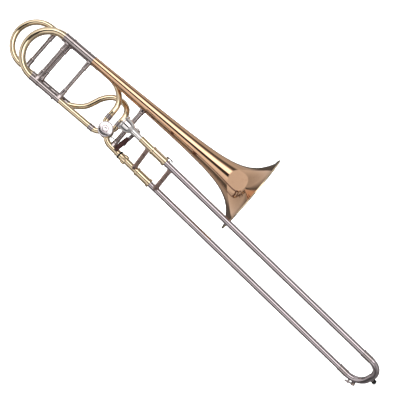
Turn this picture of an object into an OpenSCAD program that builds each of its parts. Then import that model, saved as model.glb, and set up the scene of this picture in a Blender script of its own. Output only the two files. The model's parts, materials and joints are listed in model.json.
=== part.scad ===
// Tenor trombone with an F attachment, in millimetres.
// Origin: centre of the mouthpiece rim, where the player's lips meet it. +X runs forward along the hand
// slide, +Y is the player's left and +Z is up, from the lower slide tube to the upper one.
// The bell section has a frame of its own: origin at the centre of the rim, x forward along the bell,
// z from the gooseneck up to the bell, y away from the hand slide.

/* [Bell] */
// Diameter over the rim
bell_d = 216; // [212:1:218]
// Length from the rim to the narrow end
bell_length = 498; // [490:1:500]
// Thickness of the bell sheet
bell_wall = 0.6; // [0.5:0.1:1]
// Diameter of the wire that the rim is turned over
rim_wire_d = 4; // [3:0.5:5]

/* [Bell section] */
// Distance between the bell stem and the lower main tube, centre to centre
bow_gap = 126.5; // [126:0.1:127]
// Angle between the plane of the bell and the plane of the hand slide
bell_roll = 48.16; // [47:0.01:60]
// Angle by which the bell rises above the hand slide, seen from the side
bell_tilt = 3.56; // [3:0.01:4]
// Angle by which the bell leaves the hand slide sideways
bell_splay = 1.35; // [1:0.01:2]
// Radius of the main tubing
main_r = 7.5; // [7.4:0.1:7.6]
// Wall of the brass tubing
tube_wall = 0.5; // [0.4:0.1:0.7]

/* [F attachment] */
// Distance of the F tubing behind the main tubing
f_back = 27; // [27:0.5:29]
// Radius of the F tubing
f_r = 7.3; // [7.2:0.1:7.4]
// Radius of the bend of the F tuning bow, to the middle of the tube
f_bow_r = 58.6; // [58:0.1:59]

/* [Rotary valve] */
// Radius of the rotor
rotor_r = 15.3; // [15:0.1:15.5]
// Length of the rotor casing
casing_length = 32; // [30:1:32]
// Radius of the screw cap
cap_r = 19; // [18.5:0.1:20]
// Radius from the rotor's axis to the stop arm's stud
stop_arm_r = 9; // [8:0.5:9]

/* [Hand slide] */
// Distance between the two slide tubes, centre to centre
slide_gap = 90; // [88:1:92]
// Bore radius of the inner slide tubes
slide_bore_r = 6.95; // [6.8:0.05:7]
// Outer radius of the inner slide tubes
inner_r = 7.2; // [7.15:0.05:7.2]
// Outer radius of the stockings, where the tubes touch
stocking_r = 7.3; // [7.3:0.01:7.32]
// Length of the stockings
stocking_length = 100; // [60:5:120]
// Inner radius of the outer slide tubes
outer_bore_r = 7.36; // [7.35:0.01:7.4]
// Outer radius of the outer slide tubes
outer_r = 7.7; // [7.65:0.01:7.8]
// Place of the joint between the outer tubes and the crook
crook_x = 788.5; // [780:0.5:800]
// Radius of the two bends of the crook
crook_bend = 36.5; // [34:0.5:40]
// Radius of the crook tubing
crook_r = 8.1; // [8:0.1:8.4]

/* [Mouthpiece] */
// Outer radius of the mouthpiece rim
rim_r = 19.2; // [18:0.1:20]
// Radius of the opening of the cup
cup_r = 12.9; // [12:0.1:13.5]

/* [Water key] */
// Angle along the crook's lower bend at which the key sits
key_angle = 25; // [20:1:30]
// Turn of the key around the tube, towards the player's right
key_turn = 20; // [0:1:30]

/* [Hidden] */
$fn = 48;
eps = 0.5;
run_gap = 0.05;
BRASS = [0.84, 0.70, 0.42];
ROSE = [0.74, 0.53, 0.38];
NICKEL = [0.66, 0.61, 0.61];
CHROME = [0.80, 0.79, 0.81];
BLACK = [0.09, 0.07, 0.07];
CORK = [0.72, 0.55, 0.37];
STEEL = [0.45, 0.43, 0.43];

// Stations of the bell section, along its own x
bow_x = -587;
main_leg_end_x = -565;
main_leg_start_x = -bell_length;
main_inner_end_x = -506;
lead_tube_end_x = -398.5;
main_ferrule_x = [-405, -392];
f_bow_x = -634.6;
f_leg_end_x = -581;
f_sleeve_x = -598;
f_inner_leg_x = [-590, -512];
f_leg_start_x = -494;
f_up_z = -1.9;
f_low_z = f_up_z - 2 * f_bow_r;
main_brace_x = -504;
f_brace_x = -572;
f_post_x = -540;
main_bow_brace_x = -573.4;
f_bow_brace_x = -620;
bell_joints = [80, 230];
main_upper_leg_r = 11;
main_upper_inner_r = 10.3;
main_lower_leg_r = 8.1;
f_leg_r = 7.8;
f_inner_leg_r = 7.2;

// Rotary valve, in the frame of the bell section
valve_x = -367;
valve_z = -108.5;
casing_r = 17.8;
f_port_x = [-383, -353];
f_port_z = -80;

// Thumb lever and linkage, all turning about axes along the bell section's y
lever_x = -308;
lever_z = -60;
lever_rest = 8;
link_arm_length = 45.6;
brace_x = -330.4;
link_y = 25;
thumb_y = -15;
stud_offset = 1.1;

// Joint of the bell section and the hand slide
neck_b = [-319.3, 0, -131.1];
neck_at = [21.6, 0, -slide_gap];
nut_x = [40, 59.6];
receiver_x = [30, 46.5];

// Stations of the hand slide
shank_x = 57.2;
shank_end_x = 79;
barrel_x = 93;
barrel_length = 43.5;
inner_end_x = crook_x - 16;
outer_end_x = crook_x - 14;
outer_start_x = 104;
inner_brace_x = 84.5;
outer_brace_x = 155.5;
lock_ring_x = [129.4, 135.6];
lock_rest = 45;
lock_turn = 40;

// Water key, in a frame on the crook's lower bend
nipple_x = 7;
pivot_x = -5;
pivot_z = -14;

// Routes of the F tubing, from its outer leg to the valve
f_upper_route = [
    [f_leg_start_x, f_back, f_up_z], [-470, f_back, f_up_z], [-446, f_back, -3], [-430, 25, -6],
    [-413.5, 19, -13.5], [-400, 12, -23], [-390, 6, -34.5], [-384.5, 2, -47], [-383, 0.2, -59],
    [f_port_x[0], 0, -70], [f_port_x[0], 0, f_port_z]
];
f_lower_route = [
    [f_leg_start_x, f_back, f_low_z], [-484, f_back, f_low_z], [-475, f_back, -116],
    [-465.5, f_back, -110.5], [-455, f_back, -102.5], [-445, f_back, -91], [-437, f_back, -74],
    [-430, f_back, -57.5], [-418, f_back, -41.5], [-405, f_back, -32.5], [-391, 26, -29],
    [-378, 22, -29.5], [-365, 13, -35.5], [-356.5, 4.8, -46], [-353.7, 1.2, -56],
    [f_port_x[1], 0.1, -64], [f_port_x[1], 0, -71], [f_port_x[1], 0, f_port_z]
];

// ---------------------------------------------------------------- helpers

// Radius of the bell at a distance behind its rim
function bell_r(d) = (21.85 - 0.0216 * d + 9.0e8 / pow(d + 116.7, 3.396)) * bell_d / 216;

// Point on a Catmull-Rom curve through p, between points i and i + 1
function spline_point(p, i, t) =
    let (
        a = p[max(i - 1, 0)],
        b = p[i],
        c = p[min(i + 1, len(p) - 1)],
        d = p[min(i + 2, len(p) - 1)]
    )
    0.5 * (2 * b + (c - a) * t + (2 * a - 5 * b + 4 * c - d) * t * t + (3 * b - 3 * c + d - a) * t * t * t);

function spline(p, steps) = concat(
    [for (i = [0 : len(p) - 2]) for (s = [0 : steps - 1]) spline_point(p, i, s / steps)],
    [p[len(p) - 1]]
);

function unit(v) = v / norm(v);
function heading(path, i) = unit(path[min(i + 1, len(path) - 1)] - path[max(i - 1, 0)]);

// Circle of points of radius r around point i of a path; ref is never along the path
function ring(path, i, r, sides, ref) =
    let (t = heading(path, i), u = unit(cross(ref, t)), v = cross(t, u))
    [for (k = [0 : sides - 1]) path[i] + r * (cos(360 * k / sides) * u + sin(360 * k / sides) * v)];

// Closed band of faces over rings of points; the last ring joins the first
function band_faces(rings, sides) = [
    for (i = [0 : rings - 1]) for (k = [0 : sides - 1])
        let (j = (i + 1) % rings, m = (k + 1) % sides)
        each [[i * sides + k, i * sides + m, j * sides + m], [i * sides + k, j * sides + m, j * sides + k]]
];

// Hollow tube along a path, its outer radius going evenly from r0 to r1
module swept_tube(path, r0, r1, wall, sides = 16, ref = [0, 1, 0]) {
    n = len(path) - 1;
    outer = [for (i = [0 : n]) ring(path, i, r0 + (r1 - r0) * i / n, sides, ref)];
    inner = [for (i = [n : -1 : 0]) ring(path, i, r0 + (r1 - r0) * i / n - wall, sides, ref)];
    rings = concat(outer, inner);
    polyhedron([for (r = rings) each r], band_faces(len(rings), sides), convexity = 8);
}

// Solid wire along a path, with flat ends
module swept_wire(path, r, sides, ref) {
    n = len(path) - 1;
    walls = [
        for (i = [0 : n - 1]) for (k = [0 : sides - 1])
            let (m = (k + 1) % sides, a = i * sides, b = (i + 1) * sides)
            each [[a + k, a + m, b + m], [a + k, b + m, b + k]]
    ];
    ends = [[for (k = [sides - 1 : -1 : 0]) k], [for (k = [0 : sides - 1]) n * sides + k]];
    polyhedron([for (i = [0 : n]) each ring(path, i, r, sides, ref)], concat(walls, ends), convexity = 8);
}

// Moves children so that their z axis runs from a towards b
module along(a, b) {
    d = b - a;
    translate(a) rotate([0, acos(d.z / norm(d)), atan2(d.y, d.x)]) children();
}

module rod(a, b, r) {
    along(a, b) cylinder(r = r, h = norm(b - a));
}

module taper(a, b, r1, r2) {
    along(a, b) cylinder(r1 = r1, r2 = r2, h = norm(b - a));
}

module pipe(a, b, r, bore) {
    along(a, b) difference() {
        cylinder(r = r, h = norm(b - a));
        translate([0, 0, -eps]) cylinder(r = bore, h = norm(b - a) + 2 * eps);
    }
}

// Arc of a tube in the x-z plane around the origin, from angle a, measured from x towards z
module arc_solid(bend, r, a, turn) {
    rotate([90, 0, 0]) rotate([0, 0, a]) rotate_extrude(angle = turn) translate([bend, 0]) circle(r = r);
}

module arc_pipe(bend, r, wall, a, turn) {
    rotate([90, 0, 0]) rotate([0, 0, a]) rotate_extrude(angle = turn) translate([bend, 0]) difference() {
        circle(r = r);
        circle(r = r - wall);
    }
}

// Cross brace: a rod between two tubes along x, with a wider socket at each end
module brace(a, b, r, socket_r, socket, tube_a, tube_b) {
    d = unit(b - a);
    difference() {
        union() {
            rod(a, b, r);
            rod(a, a + (tube_a + socket) * d, socket_r);
            rod(b, b - (tube_b + socket) * d, socket_r);
        }
        rod(a - [30, 0, 0], a + [30, 0, 0], tube_a + 0.02);
        rod(b - [30, 0, 0], b + [30, 0, 0], tube_b + 0.02);
    }
}

// Places a sub-part of the bell section, drawn in the bell section's own frame
module in_bell_section() {
    translate(neck_at) rotate([-bell_roll, 0, 0]) rotate([0, -bell_tilt, 0]) rotate([0, 0, bell_splay])
        translate(-neck_b) children();
}

function upper(x) = [x, 0, 0];
function lower(x) = [x, 0, -bow_gap];
function f_upper(x) = [x, f_back, f_up_z];
function f_lower(x) = [x, f_back, f_low_z];
function slide_upper(x) = [x, 0, 0];
function slide_lower(x) = [x, 0, -slide_gap];

// ---------------------------------------------------------------- bell

// Length of the bell's sheet between two distances behind the rim
module bell_sheet(from, to, stations) {
    d = [for (i = [0 : stations]) from + (to - from) * pow(i / stations, 1.6)];
    outside = [for (x = d) [bell_r(x), -x]];
    inside = [for (i = [stations : -1 : 0]) [bell_r(d[i]) - bell_wall, -d[i]]];
    color(ROSE) in_bell_section() rotate([0, 90, 0]) rotate_extrude() polygon(concat(outside, inside));
}

module bell_flare() {
    bell_sheet(rim_wire_d / 2, bell_joints[0], 18);
}

module bell_throat() {
    bell_sheet(bell_joints[0], bell_joints[1], 10);
}

module bell_stem() {
    bell_sheet(bell_joints[1], bell_length, 8);
}

// Bead that the sheet is turned over, with a narrow flat that the bell can stand on
module bell_rim_wire() {
    r = rim_wire_d / 2;
    flat = 0.3;
    color(BRASS) in_bell_section() rotate([0, 90, 0]) translate([0, 0, -r]) difference() {
        rotate_extrude() translate([bell_d / 2 - r, 0]) circle(r = r);
        translate([0, 0, r - flat]) cylinder(r = bell_d, h = r);
    }
}

// ---------------------------------------------------------------- main tubing

module main_outer_leg_upper() {
    r = main_upper_leg_r;
    x0 = main_leg_end_x;
    x1 = main_leg_start_x;
    bead = 0.6;
    color(NICKEL) in_bell_section() difference() {
        union() {
            rod(upper(x0), upper(x1), r);
            rod(upper(x0), upper(x0 + 3), r + 1);
            rod(upper(x1 - 20), upper(x1 - 18), r + bead);
            rod(upper(x1 - 2), upper(x1), r + bead);
        }
        rod(upper(x0 - eps), upper(x1 + eps), main_upper_inner_r + run_gap);
    }
}

// The lower leg has a drain nipple under a ring
module main_outer_leg_lower() {
    r = main_lower_leg_r;
    x0 = main_leg_end_x;
    x1 = main_leg_start_x;
    ring_x = [x1 - 21, x1 - 15];
    drain = lower(x1 - 18);
    color(NICKEL) in_bell_section() difference() {
        union() {
            rod(lower(x0), lower(x1), r);
            rod(lower(x0), lower(x0 + 3), r + 0.8);
            rod(lower(ring_x[0]), lower(ring_x[1]), r + 0.7);
            rod(drain, drain - [0, 0, r + 3], 1.8);
        }
        rod(lower(x0 - eps), lower(x1 + eps), main_r + run_gap);
    }
}

module main_lead_tube() {
    color(BRASS) in_bell_section() pipe(lower(main_leg_start_x), lower(lead_tube_end_x), main_r,
        main_r - tube_wall);
}

// Ferrules where the tubing meets the valve's knuckles and the F legs
module valve_ferrules() {
    wall = 0.9;
    slip = 0.02;
    leg = [f_leg_start_x - 9, f_leg_start_x + 10];
    color(NICKEL) in_bell_section() {
        pipe(lower(main_ferrule_x[0]), lower(main_ferrule_x[1]), main_r + wall, main_r + slip);
        for (x = f_port_x) pipe([x, 0, f_port_z - 5], [x, 0, f_port_z + 6.5], f_r + wall, f_r + slip);
        pipe(f_lower(leg[0]), f_lower(leg[1]), f_leg_r + wall, f_leg_r + slip);
        pipe(f_upper(leg[0]), f_upper(leg[1]), f_leg_r + wall, f_leg_r + slip);
    }
}

// ---------------------------------------------------------------- rotary valve

// Places children at the rotor's axis, their z along the bell section's y
module at_valve() {
    translate([valve_x, 0, valve_z]) rotate([-90, 0, 0]) children();
}

// Distance from the rotor's axis, along x and along z, at which a 45 degree bend of a port ends
function port_reach(offset, bend) = offset - bend * (1 - cos(45));

// Straight tube along z of a given length that then bends 45 degrees towards +x as it goes down
module knuckle(bend, length, r, wall) {
    translate([bend, 0, 0]) arc_pipe(bend, r, wall, 180, 45);
    pipe([0, 0, 0], [0, 0, length], r, r - wall);
}

// Tubes that lead the tubing to the casing; each ends on a radius of the casing
module valve_knuckles() {
    r = main_r - 0.2;
    f_bends = [18, 14];
    main_bend = 25;
    reach = [
        port_reach(valve_x - f_port_x[0], f_bends[0]),
        port_reach(f_port_x[1] - valve_x, f_bends[1]),
        port_reach(valve_z + bow_gap, main_bend)
    ];
    start_z = [for (i = [0, 1]) valve_z + reach[i] + f_bends[i] * sin(45)];
    start_x = valve_x - reach[2] - main_bend * sin(45);
    color(BRASS) in_bell_section() difference() {
        union() {
            translate([f_port_x[0], 0, start_z[0]]) knuckle(f_bends[0], f_port_z - start_z[0], r, tube_wall);
            translate([f_port_x[1], 0, start_z[1]]) mirror([1, 0, 0])
                knuckle(f_bends[1], f_port_z - start_z[1], r, tube_wall);
            translate(lower(start_x)) mirror([1, 0, 0]) rotate([0, 90, 0])
                knuckle(main_bend, start_x - lead_tube_end_x, r, tube_wall);
        }
        at_valve() cylinder(r = casing_r + 0.02, h = 2 * casing_length, center = true);
    }
}

module rotor_casing() {
    port_r = main_r - tube_wall - 0.2;
    color(BRASS) in_bell_section() difference() {
        at_valve() cylinder(r = casing_r, h = casing_length, center = true);
        at_valve() cylinder(r = rotor_r + run_gap, h = casing_length + 2 * eps, center = true);
        for (a = [45 : 90 : 315])
            translate([valve_x, 0, valve_z]) rotate([0, -a, 0]) rod([11, 0, 0], [casing_r + 2, 0, 0], port_r);
    }
}

module rotor_cap() {
    h = casing_length / 2;
    boss_r = 7;
    color(CHROME) in_bell_section() at_valve() difference() {
        union() {
            translate([0, 0, -h - 4.5]) cylinder(r = cap_r, h = 4.5);
            translate([0, 0, -h - 6]) cylinder(r1 = cap_r - 2.5, r2 = cap_r, h = 1.5);
            translate([0, 0, -h - 10]) cylinder(r1 = boss_r - 1, r2 = boss_r, h = 4);
        }
        translate([0, 0, -h - 3.5]) cylinder(r = 4.3, h = 4);
        translate([0, 0, -h - 10 - eps]) cylinder(r = 3, h = 1.2 + eps);
    }
}

module rotor_back_plate() {
    h = casing_length / 2;
    color(BRASS) in_bell_section() at_valve() difference() {
        translate([0, 0, h]) cylinder(r = casing_r, h = 3);
        translate([0, 0, h - eps]) cylinder(r = 3.55, h = 3 + 2 * eps);
    }
}

// Arch on the back plate with a pocket for a bumper at each end
module bumper_holder() {
    y0 = casing_length / 2 + 3;
    color(NICKEL) in_bell_section() at_valve() translate([0, 0, y0]) rotate([0, 0, 180])
        rotate_extrude(angle = 180) translate([13, 0]) square([3.2, 4]);
}

// Corks that stop the lobe of the stop arm, below the two ends of the arch
module rotor_bumpers() {
    y0 = casing_length / 2 + 3;
    at_r = 10.6;
    below = 23;
    color(CORK) in_bell_section() at_valve() translate([0, 0, y0]) for (a = [-below, 180 + below])
        rotate([0, 0, a]) translate([at_r, 0, 0]) cylinder(r = 2.3, h = 4);
}

module rotor() {
    h = casing_length / 2 - 0.4;
    bend = rotor_r;
    color(BRASS) in_bell_section() at_valve() difference() {
        union() {
            translate([0, 0, -h]) cylinder(r = rotor_r, h = 2 * h);
            translate([0, 0, -h - 3.5]) cylinder(r = 4.25, h = 3.6);
            translate([0, 0, h - 0.1]) cylinder(r = 3.5, h = 4);
        }
        for (side = [-1, 1]) translate([0, side * bend * sqrt(2), 0]) rotate_extrude()
            translate([bend, 0]) circle(r = 5.6);
    }
}

// Stop arm: a hub, a stud for the linkage and a lobe that meets the bumpers
module stop_arm() {
    y0 = casing_length / 2 + 3.5;
    t = 2.4;
    a = 225;
    stud = stop_arm_r * [cos(a), sin(a)];
    color(NICKEL) in_bell_section() translate([valve_x, 0, valve_z]) rotate([90, 0, 0]) {
        translate([0, 0, -y0 - t]) {
            cylinder(r = 5, h = t);
            translate(stud) cylinder(r = 3, h = t);
            rotate([0, 0, a]) translate([0, -2, 0]) cube([stop_arm_r, 4, t]);
            rotate([0, 0, a + 180]) translate([0, -1.6, 0]) cube([10.5, 3.2, t]);
        }
        translate([stud.x, stud.y, -y0 - t - 4.4]) cylinder(r = 1.2, h = 4.5);
    }
}

// ---------------------------------------------------------------- gooseneck and receiver

// Tube from the valve to the receiver: 45 degrees down, then level with the hand slide
module gooseneck() {
    bend = 33.3;
    turn = 45 - bell_tilt;
    length = 22.3;
    start = [valve_x + 12, 0, valve_z - 12];
    finish = start + bend * [sin(45) - sin(bell_tilt), 0, cos(45) - cos(bell_tilt)];
    color(BRASS) in_bell_section() difference() {
        translate(finish) rotate([0, bell_tilt, 0]) {
            mirror([1, 0, 0]) translate([0, 0, bend]) arc_pipe(bend, main_r, tube_wall, -90, turn);
            pipe([0, 0, 0], [length, 0, 0], main_r, main_r - tube_wall);
        }
        at_valve() cylinder(r = casing_r + 0.02, h = 2 * casing_length, center = true);
    }
}

// Tapered socket that takes the hand slide's tenon; its far end carries the lock nut's thread
module neck_receiver() {
    color(BRASS) difference() {
        rod(slide_lower(receiver_x[0] - 4), slide_lower(receiver_x[1]), 8.9);
        rod(slide_lower(receiver_x[0] - 5), slide_lower(receiver_x[0]), main_r + 0.15);
        taper(slide_lower(receiver_x[0] - 0.1), slide_lower(receiver_x[1] + 0.1), 7.35, 7.95);
    }
}

module receiver_ring() {
    color(BLACK) translate(slide_lower(35.8)) rotate([0, 90, 0]) rotate_extrude()
        difference() {
            translate([9.1, 0]) square([1.4, 3.6]);
            translate([10.6, -0.4]) circle(r = 0.7);
            translate([10.6, 4]) circle(r = 0.7);
        }
}

// ---------------------------------------------------------------- F attachment

module f_outer_legs() {
    color(NICKEL) in_bell_section() for (z = [f_up_z, f_low_z]) difference() {
        union() {
            rod([f_leg_end_x, f_back, z], [f_leg_start_x, f_back, z], f_leg_r);
            rod([f_leg_end_x, f_back, z], [f_leg_end_x + 3, f_back, z], f_leg_r + 0.8);
        }
        rod([f_leg_end_x - 1, f_back, z], [f_leg_start_x + 1, f_back, z], f_inner_leg_r + run_gap);
    }
}

module f_upper_tube() {
    color(BRASS) in_bell_section() swept_tube(spline(f_upper_route, 4), f_r, f_r, tube_wall);
}

module f_lower_tube() {
    color(BRASS) in_bell_section() swept_tube(spline(f_lower_route, 3), f_r, f_r, tube_wall);
}

// ---------------------------------------------------------------- braces of the bell section

module bell_brace() {
    bell_side_r = bell_r(-brace_x);
    slope = tan(bell_tilt);
    neck_z = neck_b.z + (neck_b.x - brace_x) * slope;
    neck = [brace_x, 0, neck_z];
    reach = 25;
    color(NICKEL) in_bell_section() difference() {
        union() {
            rod(neck, [brace_x, 0, 0], 6);
            rod(neck, neck + [0, 0, main_r + 3], 6.8);
            rod([brace_x, 0, 0], [brace_x, 0, -bell_side_r - 2.5], 6.6);
        }
        taper([brace_x - 40, 0, 0], [brace_x + 40, 0, 0], bell_r(40 - brace_x) + 0.05,
            bell_r(-40 - brace_x) + 0.2);
        rod(neck + reach * [-1, 0, slope], neck + reach * [1, 0, -slope], main_r + 0.35);
    }
}

// Cross braces of the main legs and of the F legs
module cross_braces() {
    socket = 22;
    color(NICKEL) in_bell_section() {
        brace(upper(main_brace_x), lower(main_brace_x), 4.4, 5.6, socket, main_upper_leg_r, main_lower_leg_r);
        brace(f_upper(f_brace_x), f_lower(f_brace_x), 4.4, 5.4, socket, f_leg_r, f_leg_r);
    }
}

// Short posts that carry the F legs on the main legs
module f_posts() {
    x = f_post_x;
    color(NICKEL) in_bell_section() {
        brace(upper(x), f_upper(x), 3.4, 4.4, 2, main_upper_leg_r, f_leg_r);
        brace(lower(x), f_lower(x), 3.4, 4.4, 2, main_lower_leg_r, f_leg_r);
    }
}

// Collar on the bell brace with a bearing for the thumb lever's shaft
module lever_bracket() {
    color(NICKEL) in_bell_section() difference() {
        union() {
            rod([brace_x, 0, lever_z - 6], [brace_x, 0, lever_z + 6], 7.6);
            translate([brace_x, -4, lever_z - 3]) cube([lever_x - brace_x, 8, 6]);
            rod([lever_x, -5, lever_z], [lever_x, 5, lever_z], 4.8);
        }
        rod([brace_x, 0, lever_z - 7], [brace_x, 0, lever_z + 7], 6.02);
        rod([lever_x, -6, lever_z], [lever_x, 6, lever_z], 3.25);
    }
}

// ---------------------------------------------------------------- main tuning slide

module main_bow() {
    bend = bow_gap / 2;
    steps = 26;
    path = [for (i = [0 : steps]) let (a = 90 + 180 * i / steps)
        [bow_x + bend * cos(a), 0, -bend + bend * sin(a)]];
    color(BRASS) in_bell_section() swept_tube(path, 9.9, 8.1, 0.6, 20);
}

module main_inner_legs() {
    color(BRASS) in_bell_section() {
        pipe(upper(bow_x + 1), upper(main_inner_end_x), main_upper_inner_r,
            main_upper_inner_r - tube_wall);
        pipe(lower(bow_x + 1), lower(main_inner_end_x), main_r, main_r - tube_wall);
    }
}

module main_bow_ferrules() {
    color(NICKEL) in_bell_section() {
        pipe(
            upper(bow_x - 1), upper(main_leg_end_x - 0.5),
            main_upper_leg_r + 0.5, main_upper_inner_r + 0.02
        );
        pipe(lower(bow_x - 1), lower(main_leg_end_x - 0.5), main_lower_leg_r + 0.7, main_lower_leg_r + 0.02);
    }
}

module main_bow_brace() {
    x = main_bow_brace_x;
    color(NICKEL) in_bell_section() brace(upper(x), lower(x), 4.5, 5.6, 22, main_upper_leg_r + 0.5,
        main_lower_leg_r + 0.7);
}

// ---------------------------------------------------------------- F tuning slide

module f_bow() {
    color(BRASS) in_bell_section() {
        translate([f_bow_x, f_back, f_up_z - f_bow_r]) arc_pipe(f_bow_r, f_r, tube_wall, 90, 180);
        pipe(f_upper(f_bow_x), f_upper(f_inner_leg_x[0]), f_r, f_r - tube_wall);
        pipe(f_lower(f_bow_x), f_lower(f_inner_leg_x[0]), f_r, f_r - tube_wall);
    }
}

module f_inner_legs() {
    x = f_inner_leg_x;
    color(BRASS) in_bell_section() {
        pipe(f_upper(x[0]), f_upper(x[1]), f_inner_leg_r, f_inner_leg_r - tube_wall);
        pipe(f_lower(x[0]), f_lower(x[1]), f_inner_leg_r, f_inner_leg_r - tube_wall);
    }
}

module f_bow_ferrules() {
    r = f_leg_r + 0.6;
    x1 = f_leg_end_x - 0.5;
    color(NICKEL) in_bell_section() {
        pipe(f_upper(f_sleeve_x), f_upper(x1), r, f_r + 0.02);
        pipe(f_lower(f_sleeve_x), f_lower(x1), r, f_r + 0.02);
    }
}

module f_bow_brace() {
    x = f_bow_brace_x;
    color(NICKEL) in_bell_section() brace(f_upper(x), f_lower(x), 5, 6, 24, f_r, f_r);
}

// ---------------------------------------------------------------- thumb lever and linkage

// Places children at the lever's pivot, their -z down the lever at rest
module at_lever() {
    translate([lever_x, 0, lever_z]) rotate([0, lever_rest, 0]) children();
}

module lever_shaft() {
    color(STEEL) in_bell_section() rod([lever_x, thumb_y, lever_z], [lever_x, link_y - 1, lever_z], 3.2);
}

// Flat arm from the shaft that carries the thumb grip
module thumb_arm() {
    color(NICKEL) in_bell_section() at_lever() difference() {
        union() {
            rod([0, thumb_y, 0], [0, thumb_y + 3, 0], 5);
            translate([-2.5, thumb_y + 0.3, -68]) cube([5, 2.4, 65]);
        }
        rod([0, thumb_y - 1, 0], [0, thumb_y + 4, 0], 3.22);
    }
}

// Black touch piece that slips over the arm
module thumb_grip() {
    grip_w = 9.5;
    grip_t = 4.6;
    color(BLACK) in_bell_section() at_lever() translate([0, thumb_y + 1.5, 0]) difference() {
        hull() for (side = [-1, 1]) {
            x = side * (grip_w - grip_t) / 2;
            rod([x, 0, -71], [x, 0, -28.5], grip_t / 2);
        }
        translate([-2.6, -1.3, -69]) cube([5.2, 2.6, 45]);
    }
}

module link_arm() {
    color(NICKEL) in_bell_section() at_lever() difference() {
        union() {
            rod([0, link_y - 4, 0], [0, link_y - 1.5, 0], 5);
            rod([0, link_y - 4, -link_arm_length], [0, link_y - 1.5, -link_arm_length], 3.4);
            translate([-2.2, link_y - 4, -link_arm_length]) cube([4.4, 2.5, link_arm_length - 3]);
            rod([0, link_y - 2, -link_arm_length], [0, link_y + 3.4, -link_arm_length], 1.5);
        }
        rod([0, link_y - 5, 0], [0, link_y, 0], 3.22);
    }
}

// Return spring, wound around the shaft
module lever_spring() {
    coil_r = 4.3;
    turns = 6;
    steps = 14;
    path = [for (i = [0 : turns * steps]) let (a = 360 * i / steps)
        [lever_x + coil_r * cos(a), 6 + 9 * i / (turns * steps), lever_z + coil_r * sin(a)]];
    color(STEEL) in_bell_section() swept_wire(path, 0.5, 6, [0, 1, 0]);
}

// Rod with an eye on the lever's stud and an open socket over the stop arm's stud
module linkage_rod() {
    eye = [lever_x - link_arm_length * sin(lever_rest), lever_z - link_arm_length * cos(lever_rest)];
    cup = [valve_x - stop_arm_r * cos(45), valve_z - stop_arm_r * sin(45) - stud_offset];
    y0 = link_y - 0.7;
    y1 = link_y + 2.9;
    color(STEEL) in_bell_section() difference() {
        union() {
            rod([eye.x, y0, eye.y], [eye.x, y1, eye.y], 3.2);
            rod([cup.x, y0, cup.y], [cup.x, y1, cup.y], 4.2);
            rod([eye.x, link_y + 1, eye.y], [cup.x, link_y + 1, cup.y], 1.3);
        }
        rod([eye.x, y0 - 1, eye.y], [eye.x, y1 + 1, eye.y], 1.56);
        rod([cup.x, y0 - 1, cup.y], [cup.x, y1 + 1, cup.y], 3);
    }
}

// ---------------------------------------------------------------- inner slide

// Receiver for the mouthpiece shank, soldered to the upper inner tube
module slide_receiver() {
    color(BRASS) difference() {
        union() {
            rod(slide_upper(shank_x), slide_upper(barrel_x), 8.1);
            rod(slide_upper(shank_x), slide_upper(shank_x + 2.5), 8.6);
        }
        taper(slide_upper(shank_x - 0.1), slide_upper(shank_end_x + 1), 6.96, 6.24);
        rod(slide_upper(shank_end_x + 0.9), slide_upper(88.1), slide_bore_r - 0.7);
        rod(slide_upper(88), slide_upper(barrel_x + eps), inner_r + 0.01);
    }
}

// Tapered tenon, the collar that the lock nut pulls on, and the tube to the lower barrel
module neck_tenon() {
    x0 = receiver_x[0] + 0.5;
    x1 = receiver_x[1];
    color(BRASS) difference() {
        union() {
            taper(slide_lower(x0), slide_lower(x1 + 0.4), 7.31, 7.89);
            rod(slide_lower(x1 + 0.3), slide_lower(x1 + 1.8), 8.8);
            rod(slide_lower(x1 + 1.7), slide_lower(barrel_x), 8.1);
        }
        rod(slide_lower(x0 - eps), slide_lower(88.1), slide_bore_r);
        rod(slide_lower(88), slide_lower(barrel_x + eps), inner_r + 0.01);
    }
}

module inner_tube(z) {
    color(CHROME) difference() {
        union() {
            rod([88.1, 0, z], [inner_end_x, 0, z], inner_r);
            rod([inner_end_x - stocking_length, 0, z], [inner_end_x, 0, z], stocking_r);
        }
        rod([87, 0, z], [inner_end_x + 1, 0, z], slide_bore_r);
    }
}

module inner_tube_upper() {
    inner_tube(0);
}

module inner_tube_lower() {
    inner_tube(-slide_gap);
}

// Barrel that covers the end of the outer tube; collar lengths at its back and front
module cork_barrel(z, length, front_collar) {
    color(BRASS) difference() {
        union() {
            rod([barrel_x, 0, z], [barrel_x + length, 0, z], 9.7);
            rod([barrel_x, 0, z], [barrel_x + 5, 0, z], 10.9);
            if (front_collar > 0)
                rod([barrel_x + length - front_collar, 0, z], [barrel_x + length, 0, z], 11.3);
        }
        rod([barrel_x - eps, 0, z], [barrel_x + 5, 0, z], inner_r + 0.01);
        rod([barrel_x + 4.5, 0, z], [barrel_x + length + eps, 0, z], outer_r + 0.5);
    }
}

module cork_barrel_upper() {
    cork_barrel(0, barrel_length, 0);
}

module cork_barrel_lower() {
    cork_barrel(-slide_gap, barrel_length + 1.5, 7);
}

// Rings that cushion the outer tubes at the bottom of the barrels
module barrel_corks() {
    color(CORK) for (z = [0, -slide_gap]) {
        pipe([barrel_x + 4.6, 0, z], [outer_start_x - 0.5, 0, z], 8.15, 7.25);
    }
}

module inner_brace() {
    x = inner_brace_x;
    color(NICKEL) brace(slide_upper(x), slide_lower(x), 5.4, 6, 3, 8.1, 8.1);
}

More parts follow.
